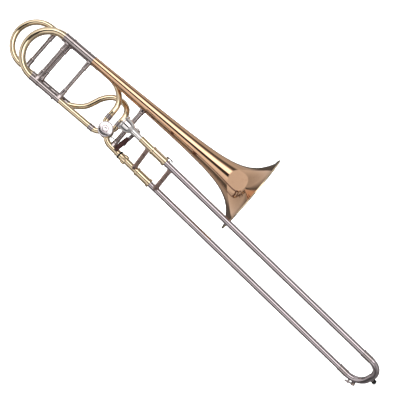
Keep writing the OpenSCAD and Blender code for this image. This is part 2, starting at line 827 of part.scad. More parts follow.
// Knurled nut that turns on the tenon and pulls it into the receiver
module lock_nut() {
    grooves = 40;
    head_x = 48.6;
    color(BRASS) difference() {
        union() {
            rod(slide_lower(nut_x[0]), slide_lower(head_x), 9.7);
            rod(slide_lower(head_x), slide_lower(head_x + 1.5), 11);
            rod(slide_lower(head_x + 1.5), slide_lower(nut_x[1] - 1.5), 11.6);
            rod(slide_lower(nut_x[1] - 1.6), slide_lower(nut_x[1]), 11);
        }
        rod(slide_lower(nut_x[0] - eps), slide_lower(head_x), 8.97);
        rod(slide_lower(nut_x[0]), slide_lower(nut_x[1] + eps), 8.16);
        for (i = [0 : grooves - 1]) translate(slide_lower(head_x + 1.6)) rotate([360 * i / grooves, 0, 0])
            translate([0, -0.3, 11.2]) cube([7.9, 0.6, 1]);
    }
}

// Ring on the upper barrel with a hook that catches the outer slide's stud
module slide_lock_ring() {
    color(NICKEL) difference() {
        union() {
            rod(slide_upper(lock_ring_x[0]), slide_upper(lock_ring_x[1]), 11.4);
            rotate([-lock_rest, 0, 0]) translate([lock_ring_x[0], -2.5, 11]) cube([17.2, 5, 2.4]);
            rotate([-lock_rest, 0, 0]) translate([144.2, -2.5, 9.4]) cube([2.4, 5, 2]);
        }
        rod(slide_upper(lock_ring_x[0] - 1), slide_upper(lock_ring_x[1] + 1), 9.75);
        rod(slide_upper(lock_ring_x[1]), slide_upper(144), 11.6);
    }
}

// ---------------------------------------------------------------- outer slide

module outer_tube(z) {
    color(CHROME) pipe([outer_start_x, 0, z], [outer_end_x, 0, z], outer_r, outer_bore_r);
}

module outer_tube_upper() {
    outer_tube(0);
}

module outer_tube_lower() {
    outer_tube(-slide_gap);
}

// Hand brace, and the two studs that the slide lock's hook catches and rests on
module outer_brace() {
    x = outer_brace_x;
    catch_angle = lock_rest - lock_turn;
    rest_angle = lock_rest + 180;
    color(NICKEL) {
        brace(slide_upper(x), slide_lower(x), 5.6, 6.2, 3, outer_r, outer_r);
        difference() {
            union() {
                rotate([-catch_angle, 0, 0]) translate([140.4, -2, outer_r - 1]) cube([3, 4, 4.3]);
                rotate([-rest_angle, 0, 0]) translate([140.4, -2, outer_r - 1]) cube([3, 4, 2.8]);
            }
            rod(slide_upper(139), slide_upper(145), outer_r + 0.02);
        }
    }
}

module crook_sleeves() {
    start_x = crook_x - 25;
    color(NICKEL) for (z = [0, -slide_gap]) difference() {
        rod([start_x, 0, z], [crook_x, 0, z], 8.9);
        rod([start_x - 1, 0, z], [outer_end_x + 0.1, 0, z], outer_r + 0.02);
        rod([outer_end_x + 0.05, 0, z], [crook_x + eps, 0, z], crook_r + 0.02);
    }
}

// Return bend: two quarter turns and a short straight, with the bumper's seat
module crook() {
    r = crook_r;
    bore = outer_bore_r;
    straight = slide_gap - 2 * crook_bend;
    far = crook_x + crook_bend;
    color(CHROME) difference() {
        union() {
            rod(slide_upper(outer_end_x + 0.1), slide_upper(crook_x), r);
            rod(slide_lower(outer_end_x + 0.1), slide_lower(crook_x), r);
            translate([crook_x, 0, -crook_bend]) arc_solid(crook_bend, r, 0, 90);
            translate([crook_x, 0, -slide_gap + crook_bend]) arc_solid(crook_bend, r, -90, 90);
            rod([far, 0, -crook_bend - straight], [far, 0, -crook_bend], r);
            rod([far, 0, -slide_gap / 2], [far + r + 2.2, 0, -slide_gap / 2], 4);
        }
        rod(slide_upper(outer_end_x - 1), slide_upper(crook_x), bore);
        rod(slide_lower(outer_end_x - 1), slide_lower(crook_x), bore);
        translate([crook_x, 0, -crook_bend]) arc_solid(crook_bend, bore, 0, 90);
        translate([crook_x, 0, -slide_gap + crook_bend]) arc_solid(crook_bend, bore, -90, 90);
        rod([far, 0, -crook_bend - straight], [far, 0, -crook_bend], bore);
    }
}

module crook_bumper() {
    x0 = crook_x + crook_bend + crook_r + 2.2;
    edge = 1.8;
    outline = concat(
        [[0, 0], [4.9, 0]],
        [for (a = [0 : 18 : 90]) [4.9 - edge + edge * cos(a), 7.2 - edge + edge * sin(a)]],
        [[0, 7.2]]
    );
    color(BLACK) translate([x0, 0, -slide_gap / 2]) rotate([0, 90, 0]) rotate_extrude() polygon(outline);
}

// ---------------------------------------------------------------- water key

// Places children on the crook's lower bend: x along the tube, -z straight out of it
module at_key() {
    translate([crook_x + crook_bend * sin(key_angle), 0, -slide_gap + crook_bend * (1 - cos(key_angle))])
        rotate([0, -key_angle, 0]) rotate([-key_turn, 0, 0]) children();
}

// Nipple with the drain hole, and two posts that hold the pivot screw
module water_key_seat() {
    color(NICKEL) at_key() {
        difference() {
            union() {
                rod([nipple_x, 0, -8.4], [nipple_x, 0, -12], 3.4);
                rod([nipple_x, 0, -8.4], [nipple_x, 0, -10], 4.2);
            }
            rod([nipple_x, 0, -7], [nipple_x, 0, -13], 1.7);
        }
        for (side = [-1, 1]) difference() {
            union() {
                translate([pivot_x - 2.2, side * 4 - 0.8, pivot_z]) cube([4.4, 1.6, 6.2]);
                rod([pivot_x, side * 4 - 0.8, pivot_z], [pivot_x, side * 4 + 0.8, pivot_z], 2.2);
            }
            rod([pivot_x, -6, pivot_z], [pivot_x, 6, pivot_z], 1);
        }
        rod([pivot_x, -5.6, pivot_z], [pivot_x, 5.4, pivot_z], 0.98);
        rod([pivot_x, -6.6, pivot_z], [pivot_x, -5.3, pivot_z], 1.9);
    }
}

// Lever: hinge barrel, pad cup and a short finger plate
module water_key() {
    color(NICKEL) at_key() difference() {
        union() {
            rod([pivot_x, -3.1, pivot_z], [pivot_x, 3.1, pivot_z], 2.3);
            translate([pivot_x, -2.2, pivot_z - 2.2]) cube([nipple_x - pivot_x, 4.4, 2]);
            rod([nipple_x, 0, -13.4], [nipple_x, 0, -16.2], 4.6);
            translate([pivot_x - 9, -3, pivot_z - 2.2]) cube([9, 6, 1.6]);
        }
        rod([pivot_x, -4, pivot_z], [pivot_x, 4, pivot_z], 1.04);
        rod([nipple_x, 0, -13], [nipple_x, 0, -14.6], 3.8);
    }
}

module key_pad() {
    color(CORK) at_key() rod([nipple_x, 0, -12.1], [nipple_x, 0, -14.6], 3.75);
}

// ---------------------------------------------------------------- mouthpiece

// Turned from one bar: rim, bowl, throat and tapered shank
module mouthpiece() {
    edge = 2.2;
    outside = concat(
        [[cup_r + 1.2, 0]],
        [for (a = [90 : -18 : 0]) [rim_r - edge + edge * cos(a), edge - edge * sin(a)]],
        [[rim_r, 4.2], [17.4, 5.5], [16.3, 8], [16.3, 12], [15.9, 16.5], [15.2, 19.5], [14.1, 22.3]],
        [[12.7, 24.8], [11.1, 27], [9.6, 28.9], [8.5, 30.8], [7.9, 33], [7.6, 37]],
        [[6.92, shank_x], [6.2, shank_end_x]]
    );
    inside = concat(
        [[5.3, shank_end_x], [3.6, 33], [3.6, 28]],
        [for (a = [0 : 12 : 84]) [3.6 + (cup_r - 3.6) * sin(a), 26 - 23 * (1 - cos(a))]],
        [[cup_r, 2]]
    );
    color(CHROME) rotate([0, 90, 0]) rotate_extrude() polygon(concat(outside, inside));
}

bell_flare();
bell_throat();
bell_stem();
bell_rim_wire();
main_outer_leg_upper();
main_outer_leg_lower();
main_lead_tube();
valve_ferrules();
valve_knuckles();
rotor_casing();
rotor_cap();
rotor_back_plate();
bumper_holder();
rotor_bumpers();
gooseneck();
neck_receiver();
receiver_ring();
f_outer_legs();
f_upper_tube();
f_lower_tube();
bell_brace();
cross_braces();
f_posts();
lever_bracket();
main_bow();
main_inner_legs();
main_bow_ferrules();
main_bow_brace();
f_bow();
f_inner_legs();
f_bow_ferrules();
f_bow_brace();
rotor();
stop_arm();
lever_shaft();
thumb_arm();
thumb_grip();
link_arm();
lever_spring();
linkage_rod();
slide_receiver();
neck_tenon();
inner_tube_upper();
inner_tube_lower();
cork_barrel_upper();
cork_barrel_lower();
barrel_corks();
inner_brace();
lock_nut();
slide_lock_ring();
outer_tube_upper();
outer_tube_lower();
outer_brace();
crook_sleeves();
crook();
crook_bumper();
water_key_seat();
water_key();
key_pad();
mouthpiece();
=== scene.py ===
import json
import math

import bmesh
import bpy
from mathutils import Matrix, Vector


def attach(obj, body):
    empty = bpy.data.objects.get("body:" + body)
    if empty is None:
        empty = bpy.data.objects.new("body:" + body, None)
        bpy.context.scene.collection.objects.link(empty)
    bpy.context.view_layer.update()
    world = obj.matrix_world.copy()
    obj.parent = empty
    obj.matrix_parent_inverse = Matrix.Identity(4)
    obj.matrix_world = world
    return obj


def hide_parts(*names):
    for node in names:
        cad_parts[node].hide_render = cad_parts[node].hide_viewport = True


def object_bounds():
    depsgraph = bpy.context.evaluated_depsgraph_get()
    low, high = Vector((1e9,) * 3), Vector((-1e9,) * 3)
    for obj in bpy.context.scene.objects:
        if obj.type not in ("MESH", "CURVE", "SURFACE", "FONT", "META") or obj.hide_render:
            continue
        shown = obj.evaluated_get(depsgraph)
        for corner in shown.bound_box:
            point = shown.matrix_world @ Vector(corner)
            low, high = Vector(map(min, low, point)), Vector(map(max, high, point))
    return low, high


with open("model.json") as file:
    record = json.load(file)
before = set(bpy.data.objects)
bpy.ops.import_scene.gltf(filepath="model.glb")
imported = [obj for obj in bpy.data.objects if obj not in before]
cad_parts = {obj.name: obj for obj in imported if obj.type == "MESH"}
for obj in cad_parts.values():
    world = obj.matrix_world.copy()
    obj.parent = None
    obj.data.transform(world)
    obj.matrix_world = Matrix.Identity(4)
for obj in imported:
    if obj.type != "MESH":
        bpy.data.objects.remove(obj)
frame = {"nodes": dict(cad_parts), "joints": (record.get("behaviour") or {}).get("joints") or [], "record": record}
cad_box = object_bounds()

MM = 0.001
TAU = 2 * math.pi
X, Y, Z = (1, 0, 0), (0, 1, 0), (0, 0, 1)
DOWN = (0, 0, -1)
JOINTS = {joint["name"]: joint for joint in frame["joints"]}
MOUNTS = {mount["name"]: mount for mount in frame["record"]["mounts"]}


def sin(degrees):
    return math.sin(math.radians(degrees))


def cos(degrees):
    return math.cos(math.radians(degrees))


# ---------------------------------------------------------------- frames

class Base:
    """A frame inside the row frame: sizes in millimetres go in, row frame metres come out."""

    def __init__(self, origin, x, y, z):
        self.origin = Vector(origin)
        self.axes = [Vector(x).normalized(), Vector(y).normalized(), Vector(z).normalized()]

    def way(self, p):
        return self.axes[0] * p[0] + self.axes[1] * p[1] + self.axes[2] * p[2]

    def at(self, p):
        return self.origin + self.way(p) * MM

    def turned(self, p, y_turn=0.0, x_turn=0.0):
        turn = (Matrix.Rotation(math.radians(y_turn), 3, "Y")
                @ Matrix.Rotation(math.radians(x_turn), 3, "X"))
        return Base(self.at(p), *(self.way(turn.col[i]) for i in range(3)))


# Sizes of the CAD model, in millimetres and degrees; _X, _Y and _Z are places, _R is a radius.
# Those of the bell section are in the bell's frame, whose x runs out of the bell from its rim.
BELL_LENGTH = 498.0
BELL_SHEET = 0.6
RIM_R = 106.0
RIM_BEAD_R = 2.0
MAIN_R, MAIN_BORE = 7.5, 7.0
BOW_GAP = 126.5  # between the two legs of the main tuning slide
BOW_X = -587.0
LEAD_END_X = -398.5  # where the lower tube meets the valve's port
F_R, F_BORE = 7.3, 6.8
F_Y = 27.0
F_UP = -1.9  # heights of the two F legs
F_BEND = 58.6
F_LOW = F_UP - 2 * F_BEND
F_BOW_X = -634.6
VALVE = (-367.0, 0.0, -108.5)
PORT_ANGLE = 45.0  # between each of the valve's four bores and the x axis
PORT_TOP = -80.0  # where the F tubes end in the valve's upper ports
UPPER_PORTS_X = (-383.0, -353.0)
ARCH_R = 14.6
STUD_R = 9.0
STUD = (VALVE[0] - STUD_R * cos(PORT_ANGLE), VALVE[2] - STUD_R * sin(PORT_ANGLE))
SPLAY = 3.56  # between the hand slide and the bell's x axis
BRACE_X = -330.4
LEVER_PIVOT = (-308.0, 0.0, -60.0)
LEVER_REST = 8.0
LINK_ARM = 45.6
# Those of the hand slide are in the row frame
SLIDE_GAP = 90.0
OUTER_R = 7.7
CROOK_X = 788.5
CROOK_R = 8.1
CROOK_BEND = 36.5
CROOK_LEG = 13.9
KEY_ANGLE = 25.0  # along the crook's lower bend
KEY_TURN = 20.0  # around the tube
KEY_PIVOT = (-5, 0, -14)  # in the key's own frame, as is the pad's axis
KEY_PAD = (7, 0, 0)

bell_x = -Vector(JOINTS["main_tuning_pull"]["axis"])
bell_y = -Vector(JOINTS["rotor_turn"]["axis"])
ROW = Base((0, 0, 0), X, Y, Z)
BELL = Base(MOUNTS["bell_stand_cone"]["pos_m"], bell_x, bell_y, bell_x.cross(bell_y))
LEVER = BELL.turned(LEVER_PIVOT, LEVER_REST)
KEY = ROW.turned((CROOK_X + CROOK_BEND * sin(KEY_ANGLE), 0,
                  -SLIDE_GAP + CROOK_BEND * (1 - cos(KEY_ANGLE))), -KEY_ANGLE, -KEY_TURN)


def bell_r(d):
    """The bell's outside radius at d behind the rim."""
    return 21.85 - 0.0216 * d + 9.0e8 / (d + 116.7) ** 3.396


# ---------------------------------------------------------------- node helpers

def new_material(name):
    material = bpy.data.materials.new(name)
    material.use_nodes = True
    tree = material.node_tree
    return material, tree, tree.nodes["Principled BSDF"]


def node(tree, kind, **inputs):
    made = tree.nodes.new(kind)
    for key, value in inputs.items():
        made.inputs[key].default_value = value
    return made


def fraction(tree, source, low, high, to_low, to_high):
    """A number between low and high, clamped and mapped to to_low and to_high."""
    made = node(tree, "ShaderNodeMapRange")
    for key, value in (("From Min", low), ("From Max", high), ("To Min", to_low),
                       ("To Max", to_high)):
        made.inputs[key].default_value = value
    tree.links.new(source, made.inputs["Value"])
    return made.outputs["Result"]


def mixed(tree, factor, a, b):
    """Colour a where the factor is 0 and b where it is 1; b may be a plain colour."""
    mix = tree.nodes.new("ShaderNodeMix")
    mix.data_type = "RGBA"
    tree.links.new(factor, mix.inputs[0])
    tree.links.new(a, mix.inputs[6])
    if isinstance(b, tuple):
        mix.inputs[7].default_value = (*b, 1)
    else:
        tree.links.new(b, mix.inputs[7])
    return mix.outputs[2]


def noise_of(tree, place, scale, detail, roughness=0.55):
    noise = node(tree, "ShaderNodeTexNoise", Scale=scale, Detail=detail, Roughness=roughness)
    tree.links.new(place, noise.inputs["Vector"])
    return noise.outputs["Fac"]


def ramp_of(tree, source, stops):
    ramp = tree.nodes.new("ShaderNodeValToRGB")
    elements = ramp.color_ramp.elements
    for i, (place, colour) in enumerate(stops):
        stop = elements[i] if i < 2 else elements.new(place)
        stop.position = place
        stop.color = (*colour, 1)
    tree.links.new(source, ramp.inputs["Fac"])
    return ramp.outputs["Color"]


def grey_ramp(tree, source, low, high, stops):
    """Brightness by a number that goes from low to high; a stop is (number, brightness)."""
    ramp = tree.nodes.new("ShaderNodeValToRGB")
    elements = ramp.color_ramp.elements
    elements.remove(elements[-1])
    for i, (number, level) in enumerate(stops):
        place = (number - low) / (high - low)
        stop = elements[0] if i == 0 else elements.new(place)
        stop.position = place
        stop.color = (level, level, level * 0.985, 1)
    tree.links.new(fraction(tree, source, low, high, 0.0, 1.0), ramp.inputs["Fac"])
    return ramp.outputs["Color"]


def bumped(tree, shader, height, strength, distance):
    bump = node(tree, "ShaderNodeBump", Strength=strength, Distance=distance)
    tree.links.new(height, bump.inputs["Height"])
    tree.links.new(bump.outputs["Normal"], shader.inputs["Normal"])


def shade(colour, factor):
    return tuple(min(1.0, c * factor) for c in colour)


# ---------------------------------------------------------------- camera, floor and light

CAMERA_AT = Vector((0.2968, -1.1622, 1.1828))
CAMERA_LOOK = Vector((-0.02618, 0.69759, -0.71601)).normalized()
CAMERA_UP = Vector((-0.69316, 0.50344, 0.51583))
CAMERA_LENS = 64.8
SENSOR_WIDTH = 36
# Elevation, in degrees, from which angles around the slide are counted; the camera's is near it
LIGHT_ELEVATION = 45.7
# The x of a direction, along the slide, over which the light of an end wall fades in or out
LEFT_WALL = (-0.575, -0.545)
RIGHT_WALL = (0.53, 0.57)
BACKDROP = (0.55, 0.55, 0.55)
FLOOR_SIZE = 12.0
FLOOR_DROP = 0.75


def add_camera():
    right = CAMERA_LOOK.cross(CAMERA_UP).normalized()
    up = right.cross(CAMERA_LOOK)
    data = bpy.data.cameras.new("camera")
    data.lens = CAMERA_LENS
    data.sensor_width = SENSOR_WIDTH
    camera = bpy.data.objects.new("camera", data)
    camera.matrix_world = Matrix((
        (right.x, up.x, -CAMERA_LOOK.x, CAMERA_AT.x),
        (right.y, up.y, -CAMERA_LOOK.y, CAMERA_AT.y),
        (right.z, up.z, -CAMERA_LOOK.z, CAMERA_AT.z),
        (0, 0, 0, 1)))
    bpy.context.scene.collection.objects.link(camera)
    bpy.context.scene.camera = camera


def plain_floor():
    bm = bmesh.new()
    bmesh.ops.create_grid(bm, x_segments=8, y_segments=8, size=FLOOR_SIZE)
    mesh = bpy.data.meshes.new("floor")
    bm.to_mesh(mesh)
    bm.free()
    floor = bpy.data.objects.new("floor", mesh)
    floor.location = (0.3, 0.4, cad_box[0].z - FLOOR_DROP)
    bpy.context.scene.collection.objects.link(floor)
    material, _, shader = new_material("floor_paper")
    shader.inputs["Base Color"].default_value = (0.93, 0.93, 0.93, 1)
    shader.inputs["Roughness"].default_value = 0.95
    shader.inputs["Specular IOR Level"].default_value = 0.0
    mesh.materials.append(material)
    floor.visible_glossy = False


def studio():
    """The light that the metal reflects: softboxes around the slide's line, a dark slit between
    them, and a grey wall at either end of it."""
    world = bpy.data.worlds.new("studio")
    bpy.context.scene.world = world
    world.use_nodes = True
    tree = world.node_tree
    background = tree.nodes["Background"]
    way = tree.nodes.new("ShaderNodeTexCoord").outputs["Generated"]
    dots = []
    for axis in ((0, -cos(LIGHT_ELEVATION), sin(LIGHT_ELEVATION)),
                 (0, sin(LIGHT_ELEVATION), cos(LIGHT_ELEVATION))):
        dot = tree.nodes.new("ShaderNodeVectorMath")
        dot.operation = "DOT_PRODUCT"
        dot.inputs[1].default_value = axis
        tree.links.new(way, dot.inputs[0])
        dots.append(dot.outputs["Value"])
    around = tree.nodes.new("ShaderNodeMath")
    around.operation = "ARCTAN2"
    tree.links.new(dots[1], around.inputs[0])
    tree.links.new(dots[0], around.inputs[1])
    degrees = fraction(tree, around.outputs[0], -math.pi, math.pi, -180, 180)
    absolute = tree.nodes.new("ShaderNodeMath")
    absolute.operation = "ABSOLUTE"
    tree.links.new(degrees, absolute.inputs[0])
    away = absolute.outputs[0]
    split = tree.nodes.new("ShaderNodeSeparateXYZ")
    tree.links.new(way, split.inputs[0])
    along = split.outputs["X"]

    # Brightness by the angle around the slide's line, from the light's bright side
    middle = grey_ramp(tree, degrees, -180, 180, [
        (-180, 0.05), (-152, 0.06), (-134, 0.20), (-116, 0.22), (-100, 0.14), (-90, 0.06),
        (-72, 0.06), (-66, 0.20), (-61, 0.36), (-40, 0.50), (-24, 0.60), (-18, 0.40),
        (-15, 0.025), (6, 0.025), (9, 1.0), (12, 1.25), (38, 1.25), (46, 0.42), (56, 0.06),
        (74, 0.06), (82, 0.26), (90, 0.34), (110, 0.28), (132, 0.28), (152, 0.06), (180, 0.05)])
    right_wall = grey_ramp(tree, degrees, -180, 180, [
        (-180, 0.15), (-70, 0.13), (-25, 0.20), (0, 0.27), (25, 0.36), (48, 0.32), (75, 0.20),
        (110, 0.14), (180, 0.15)])
    # The left wall is paler on the bright side, and dark far away from it
    left_wall = grey_ramp(tree, along, -1.0, -0.5, [(-1.0, 0.24), (-0.80, 0.30), (-0.58, 0.37)])
    left_wall = mixed(tree, fraction(tree, away, 84, 90, 1.0, 0.0), left_wall,
                      (0.435, 0.435, 0.43))
    left_wall = mixed(tree, fraction(tree, away, 158, 174, 0.0, 1.0), left_wall,
                      (0.05, 0.05, 0.05))
    light = mixed(tree, fraction(tree, along, *LEFT_WALL, 0.0, 1.0), left_wall, middle)
    light = mixed(tree, fraction(tree, along, *RIGHT_WALL, 0.0, 1.0), light, right_wall)
    # What lies behind the object is as pale as the floor
    paths = tree.nodes.new("ShaderNodeLightPath")
    light = mixed(tree, paths.outputs["Is Camera Ray"], light, BACKDROP)
    tree.links.new(light, background.inputs["Color"])
    background.inputs["Strength"].default_value = 2.0

    target = Vector((0.3, 0.05, -0.3))
    for name, place, size, power in (
            ("softbox_over", (0.3, -0.6, 2.4), 2.2, 130),
            ("softbox_side", (0.9, -2.4, 0.9), 1.6, 60),
            ("softbox_far", (-0.6, 2.2, 1.8), 2.0, 80)):
        data = bpy.data.lights.new(name, "AREA")
        data.size = size
        data.energy = power
        lamp = bpy.data.objects.new(name, data)
        lamp.location = place
        lamp.rotation_euler = (target - Vector(place)).to_track_quat("-Z", "Y").to_euler()
        lamp.visible_glossy = False
        bpy.context.scene.collection.objects.link(lamp)


add_camera()
plain_floor()
studio()
bpy.context.scene.view_settings.view_transform = "Standard"
bpy.context.scene.view_settings.look = "None"


# ---------------------------------------------------------------- materials

BUMP_DEPTH = 0.0002


def metal(name, colour, tarnish, rough, coat, bump, stain=0.35):
    """Polished metal: cloudy tone, tarnish specks, wiping marks in its gloss, a slight ripple."""
    wipe = 26.0
    material, tree, shader = new_material(name)
    place = tree.nodes.new("ShaderNodeTexCoord").outputs["Object"]
    cloud = noise_of(tree, place, 16, 4)
    tone = ramp_of(tree, cloud, [(0.32, shade(colour, 0.90)), (0.68, shade(colour, 1.06))])
    patch = fraction(tree, noise_of(tree, place, 55, 6, 0.65), 0.56, 0.80, 0.0, stain)
    tone = mixed(tree, patch, tone, tarnish)
    speck = fraction(tree, noise_of(tree, place, 900, 2), 0.66, 0.78, 0.0, stain * 0.8)
    tone = mixed(tree, speck, tone, shade(tarnish, 0.7))
    tree.links.new(tone, shader.inputs["Base Color"])
    stretch = node(tree, "ShaderNodeMapping", Scale=(1, wipe, wipe))
    tree.links.new(place, stretch.inputs["Vector"])
    marks = noise_of(tree, stretch.outputs["Vector"], 9, 5, 0.6)
    tree.links.new(fraction(tree, marks, 0.3, 0.75, rough * 0.6, rough * 1.7),
                   shader.inputs["Roughness"])
    shader.inputs["Metallic"].default_value = 1.0
    shader.inputs["Coat Weight"].default_value = coat
    shader.inputs["Coat Roughness"].default_value = 0.06
    bumped(tree, shader, noise_of(tree, place, 120, 2), bump, BUMP_DEPTH)
    return material


def moulded(name, colour, light, rough, bump, grain, sheen):
    """Rubber or plastic: cloudy tone, a rubbed sheen and a fine grain."""
    material, tree, shader = new_material(name)
    place = tree.nodes.new("ShaderNodeTexCoord").outputs["Object"]
    tone = ramp_of(tree, noise_of(tree, place, 140, 5), [(0.35, colour), (0.75, light)])
    tree.links.new(tone, shader.inputs["Base Color"])
    rub = noise_of(tree, place, 320, 3)
    tree.links.new(fraction(tree, rub, 0.3, 0.7, rough * 0.75, rough * 1.25),
                   shader.inputs["Roughness"])
    bumped(tree, shader, noise_of(tree, place, grain, 4), bump, BUMP_DEPTH)
    shader.inputs["Specular IOR Level"].default_value = sheen
    return material


def cork_material():
    """Cork: pale cells with dark flecks, rough, with the cells standing out."""
    material, tree, shader = new_material("cork")
    place = tree.nodes.new("ShaderNodeTexCoord").outputs["Object"]
    cells = node(tree, "ShaderNodeTexVoronoi", Scale=900)
    tree.links.new(place, cells.inputs["Vector"])
    tone = ramp_of(tree, cells.outputs["Distance"],
                   [(0.0, (0.30, 0.17, 0.08)), (0.45, (0.55, 0.36, 0.19))])
    fleck = fraction(tree, noise_of(tree, place, 1400, 3), 0.60, 0.70, 0.0, 0.8)
    tone = mixed(tree, fleck, tone, (0.16, 0.08, 0.035))
    tree.links.new(tone, shader.inputs["Base Color"])
    tree.links.new(fraction(tree, fleck, 0.0, 1.0, 0.75, 0.95), shader.inputs["Roughness"])
    bumped(tree, shader, cells.outputs["Distance"], 0.5, 0.0003)
    return material


# Colour, tarnish, roughness, coat, ripple and, where it isn't the usual one, share of stains
METALS = {
    "rose_brass": ((0.745, 0.465, 0.30), (0.52, 0.29, 0.17), 0.045, 0.08, 0.04),
    "yellow_brass": ((0.77, 0.61, 0.42), (0.50, 0.33, 0.18), 0.06, 0.08, 0.05),
    "nickel_silver": ((0.43, 0.37, 0.37), (0.30, 0.23, 0.22), 0.12, 0, 0.05, 0.2),
    "warm_nickel": ((0.60, 0.42, 0.38), (0.38, 0.24, 0.21), 0.30, 0, 0.08, 0.25),
    "rotor_brass": ((0.74, 0.56, 0.30), (0.46, 0.30, 0.13), 0.24, 0, 0.10),
    "polished_nickel": ((0.74, 0.675, 0.70), (0.60, 0.52, 0.52), 0.17, 0, 0.02, 0.10),
    "slide_nickel": ((0.50, 0.435, 0.455), (0.34, 0.28, 0.28), 0.06, 0, 0.04, 0.2),
    "chrome": ((0.74, 0.72, 0.74), (0.52, 0.49, 0.49), 0.07, 0, 0.05, 0.2),
    "silver_plate": ((0.86, 0.82, 0.82), (0.58, 0.50, 0.46), 0.05, 0, 0.04, 0.2),
    "steel": ((0.46, 0.43, 0.42), (0.28, 0.24, 0.22), 0.22, 0, 0.12, 0.25),
}
# Colour, lighter colour, roughness, depth and scale of the grain, specular level
MOULDED = {
    "black_grip": ((0.014, 0.005, 0.005), (0.030, 0.012, 0.011), 0.34, 0.10, 700, 0.15),
    "black_rubber": ((0.005, 0.005, 0.005), (0.012, 0.012, 0.011), 0.60, 0.25, 1500, 0.04),
}
MATERIALS = {name: metal(name, *values) for name, values in METALS.items()}
MATERIALS.update({name: moulded(name, *values) for name, values in MOULDED.items()})
MATERIALS["cork"] = cork_material()
for part in frame["record"]["subparts"]:
    mesh = frame["nodes"][part["node"]].data
    mesh.materials.clear()
    mesh.materials.append(MATERIALS[part["material_slot"]])


# ---------------------------------------------------------------- outlines and paths

def cubic(points, i, t):
    """Point on a Catmull-Rom curve between points i and i + 1."""
    n = len(points) - 1
    a, b, c, d = (Vector(points[max(0, min(n, k))]) for k in (i - 1, i, i + 1, i + 2))
    return 0.5 * (2 * b + (c - a) * t + (2 * a - 5 * b + 4 * c - d) * t * t
                  + (3 * b - 3 * c + d - a) * t ** 3)


def curve(points, steps):
    path = [cubic(points, i, s / steps) for i in range(len(points) - 1) for s in range(steps)]
    return path + [Vector(points[-1])]


def arc(centre, radius, start, turn, steps, y=0.0):
    """Points of an arc in a base's x-z plane; angles in degrees, from x towards z."""
    angles = (start + turn * i / steps for i in range(steps + 1))
    return [Vector((centre[0] + radius * cos(a), y, centre[1] + radius * sin(a))) for a in angles]


def rounded(outline, radius, closed=True):
    """The outline of (along, radius) points with its corners rounded."""
    steps = 3
    blunt = math.radians(155)
    made = []
    n = len(outline)
    for i, point in enumerate(outline):
        point = Vector(point)
        if not closed and i in (0, n - 1):
            made.append(point)
            continue
        back, on = Vector(outline[i - 1]) - point, Vector(outline[(i + 1) % n]) - point
        if back.angle(on) > blunt:
            made.append(point)
            continue
        cut = min(radius, 0.42 * back.length, 0.42 * on.length)
        a, b = point + back.normalized() * cut, point + on.normalized() * cut
        for k in range(steps + 1):
            t = k / steps
            made.append(a * (1 - t) ** 2 + point * 2 * t * (1 - t) + b * t * t)
    return made


def tube_outline(x0, x1, radius, bore, beads=()):
    """Closed outline of a tube; a bead is (start, end, radius)."""
    top = [(x0, radius)]
    for start, end, bead in sorted(beads):
        top += [(start, radius), (start, bead), (end, bead), (end, radius)]
    return top + [(x1, radius), (x1, bore), (x0, bore)]


# ---------------------------------------------------------------- shapes

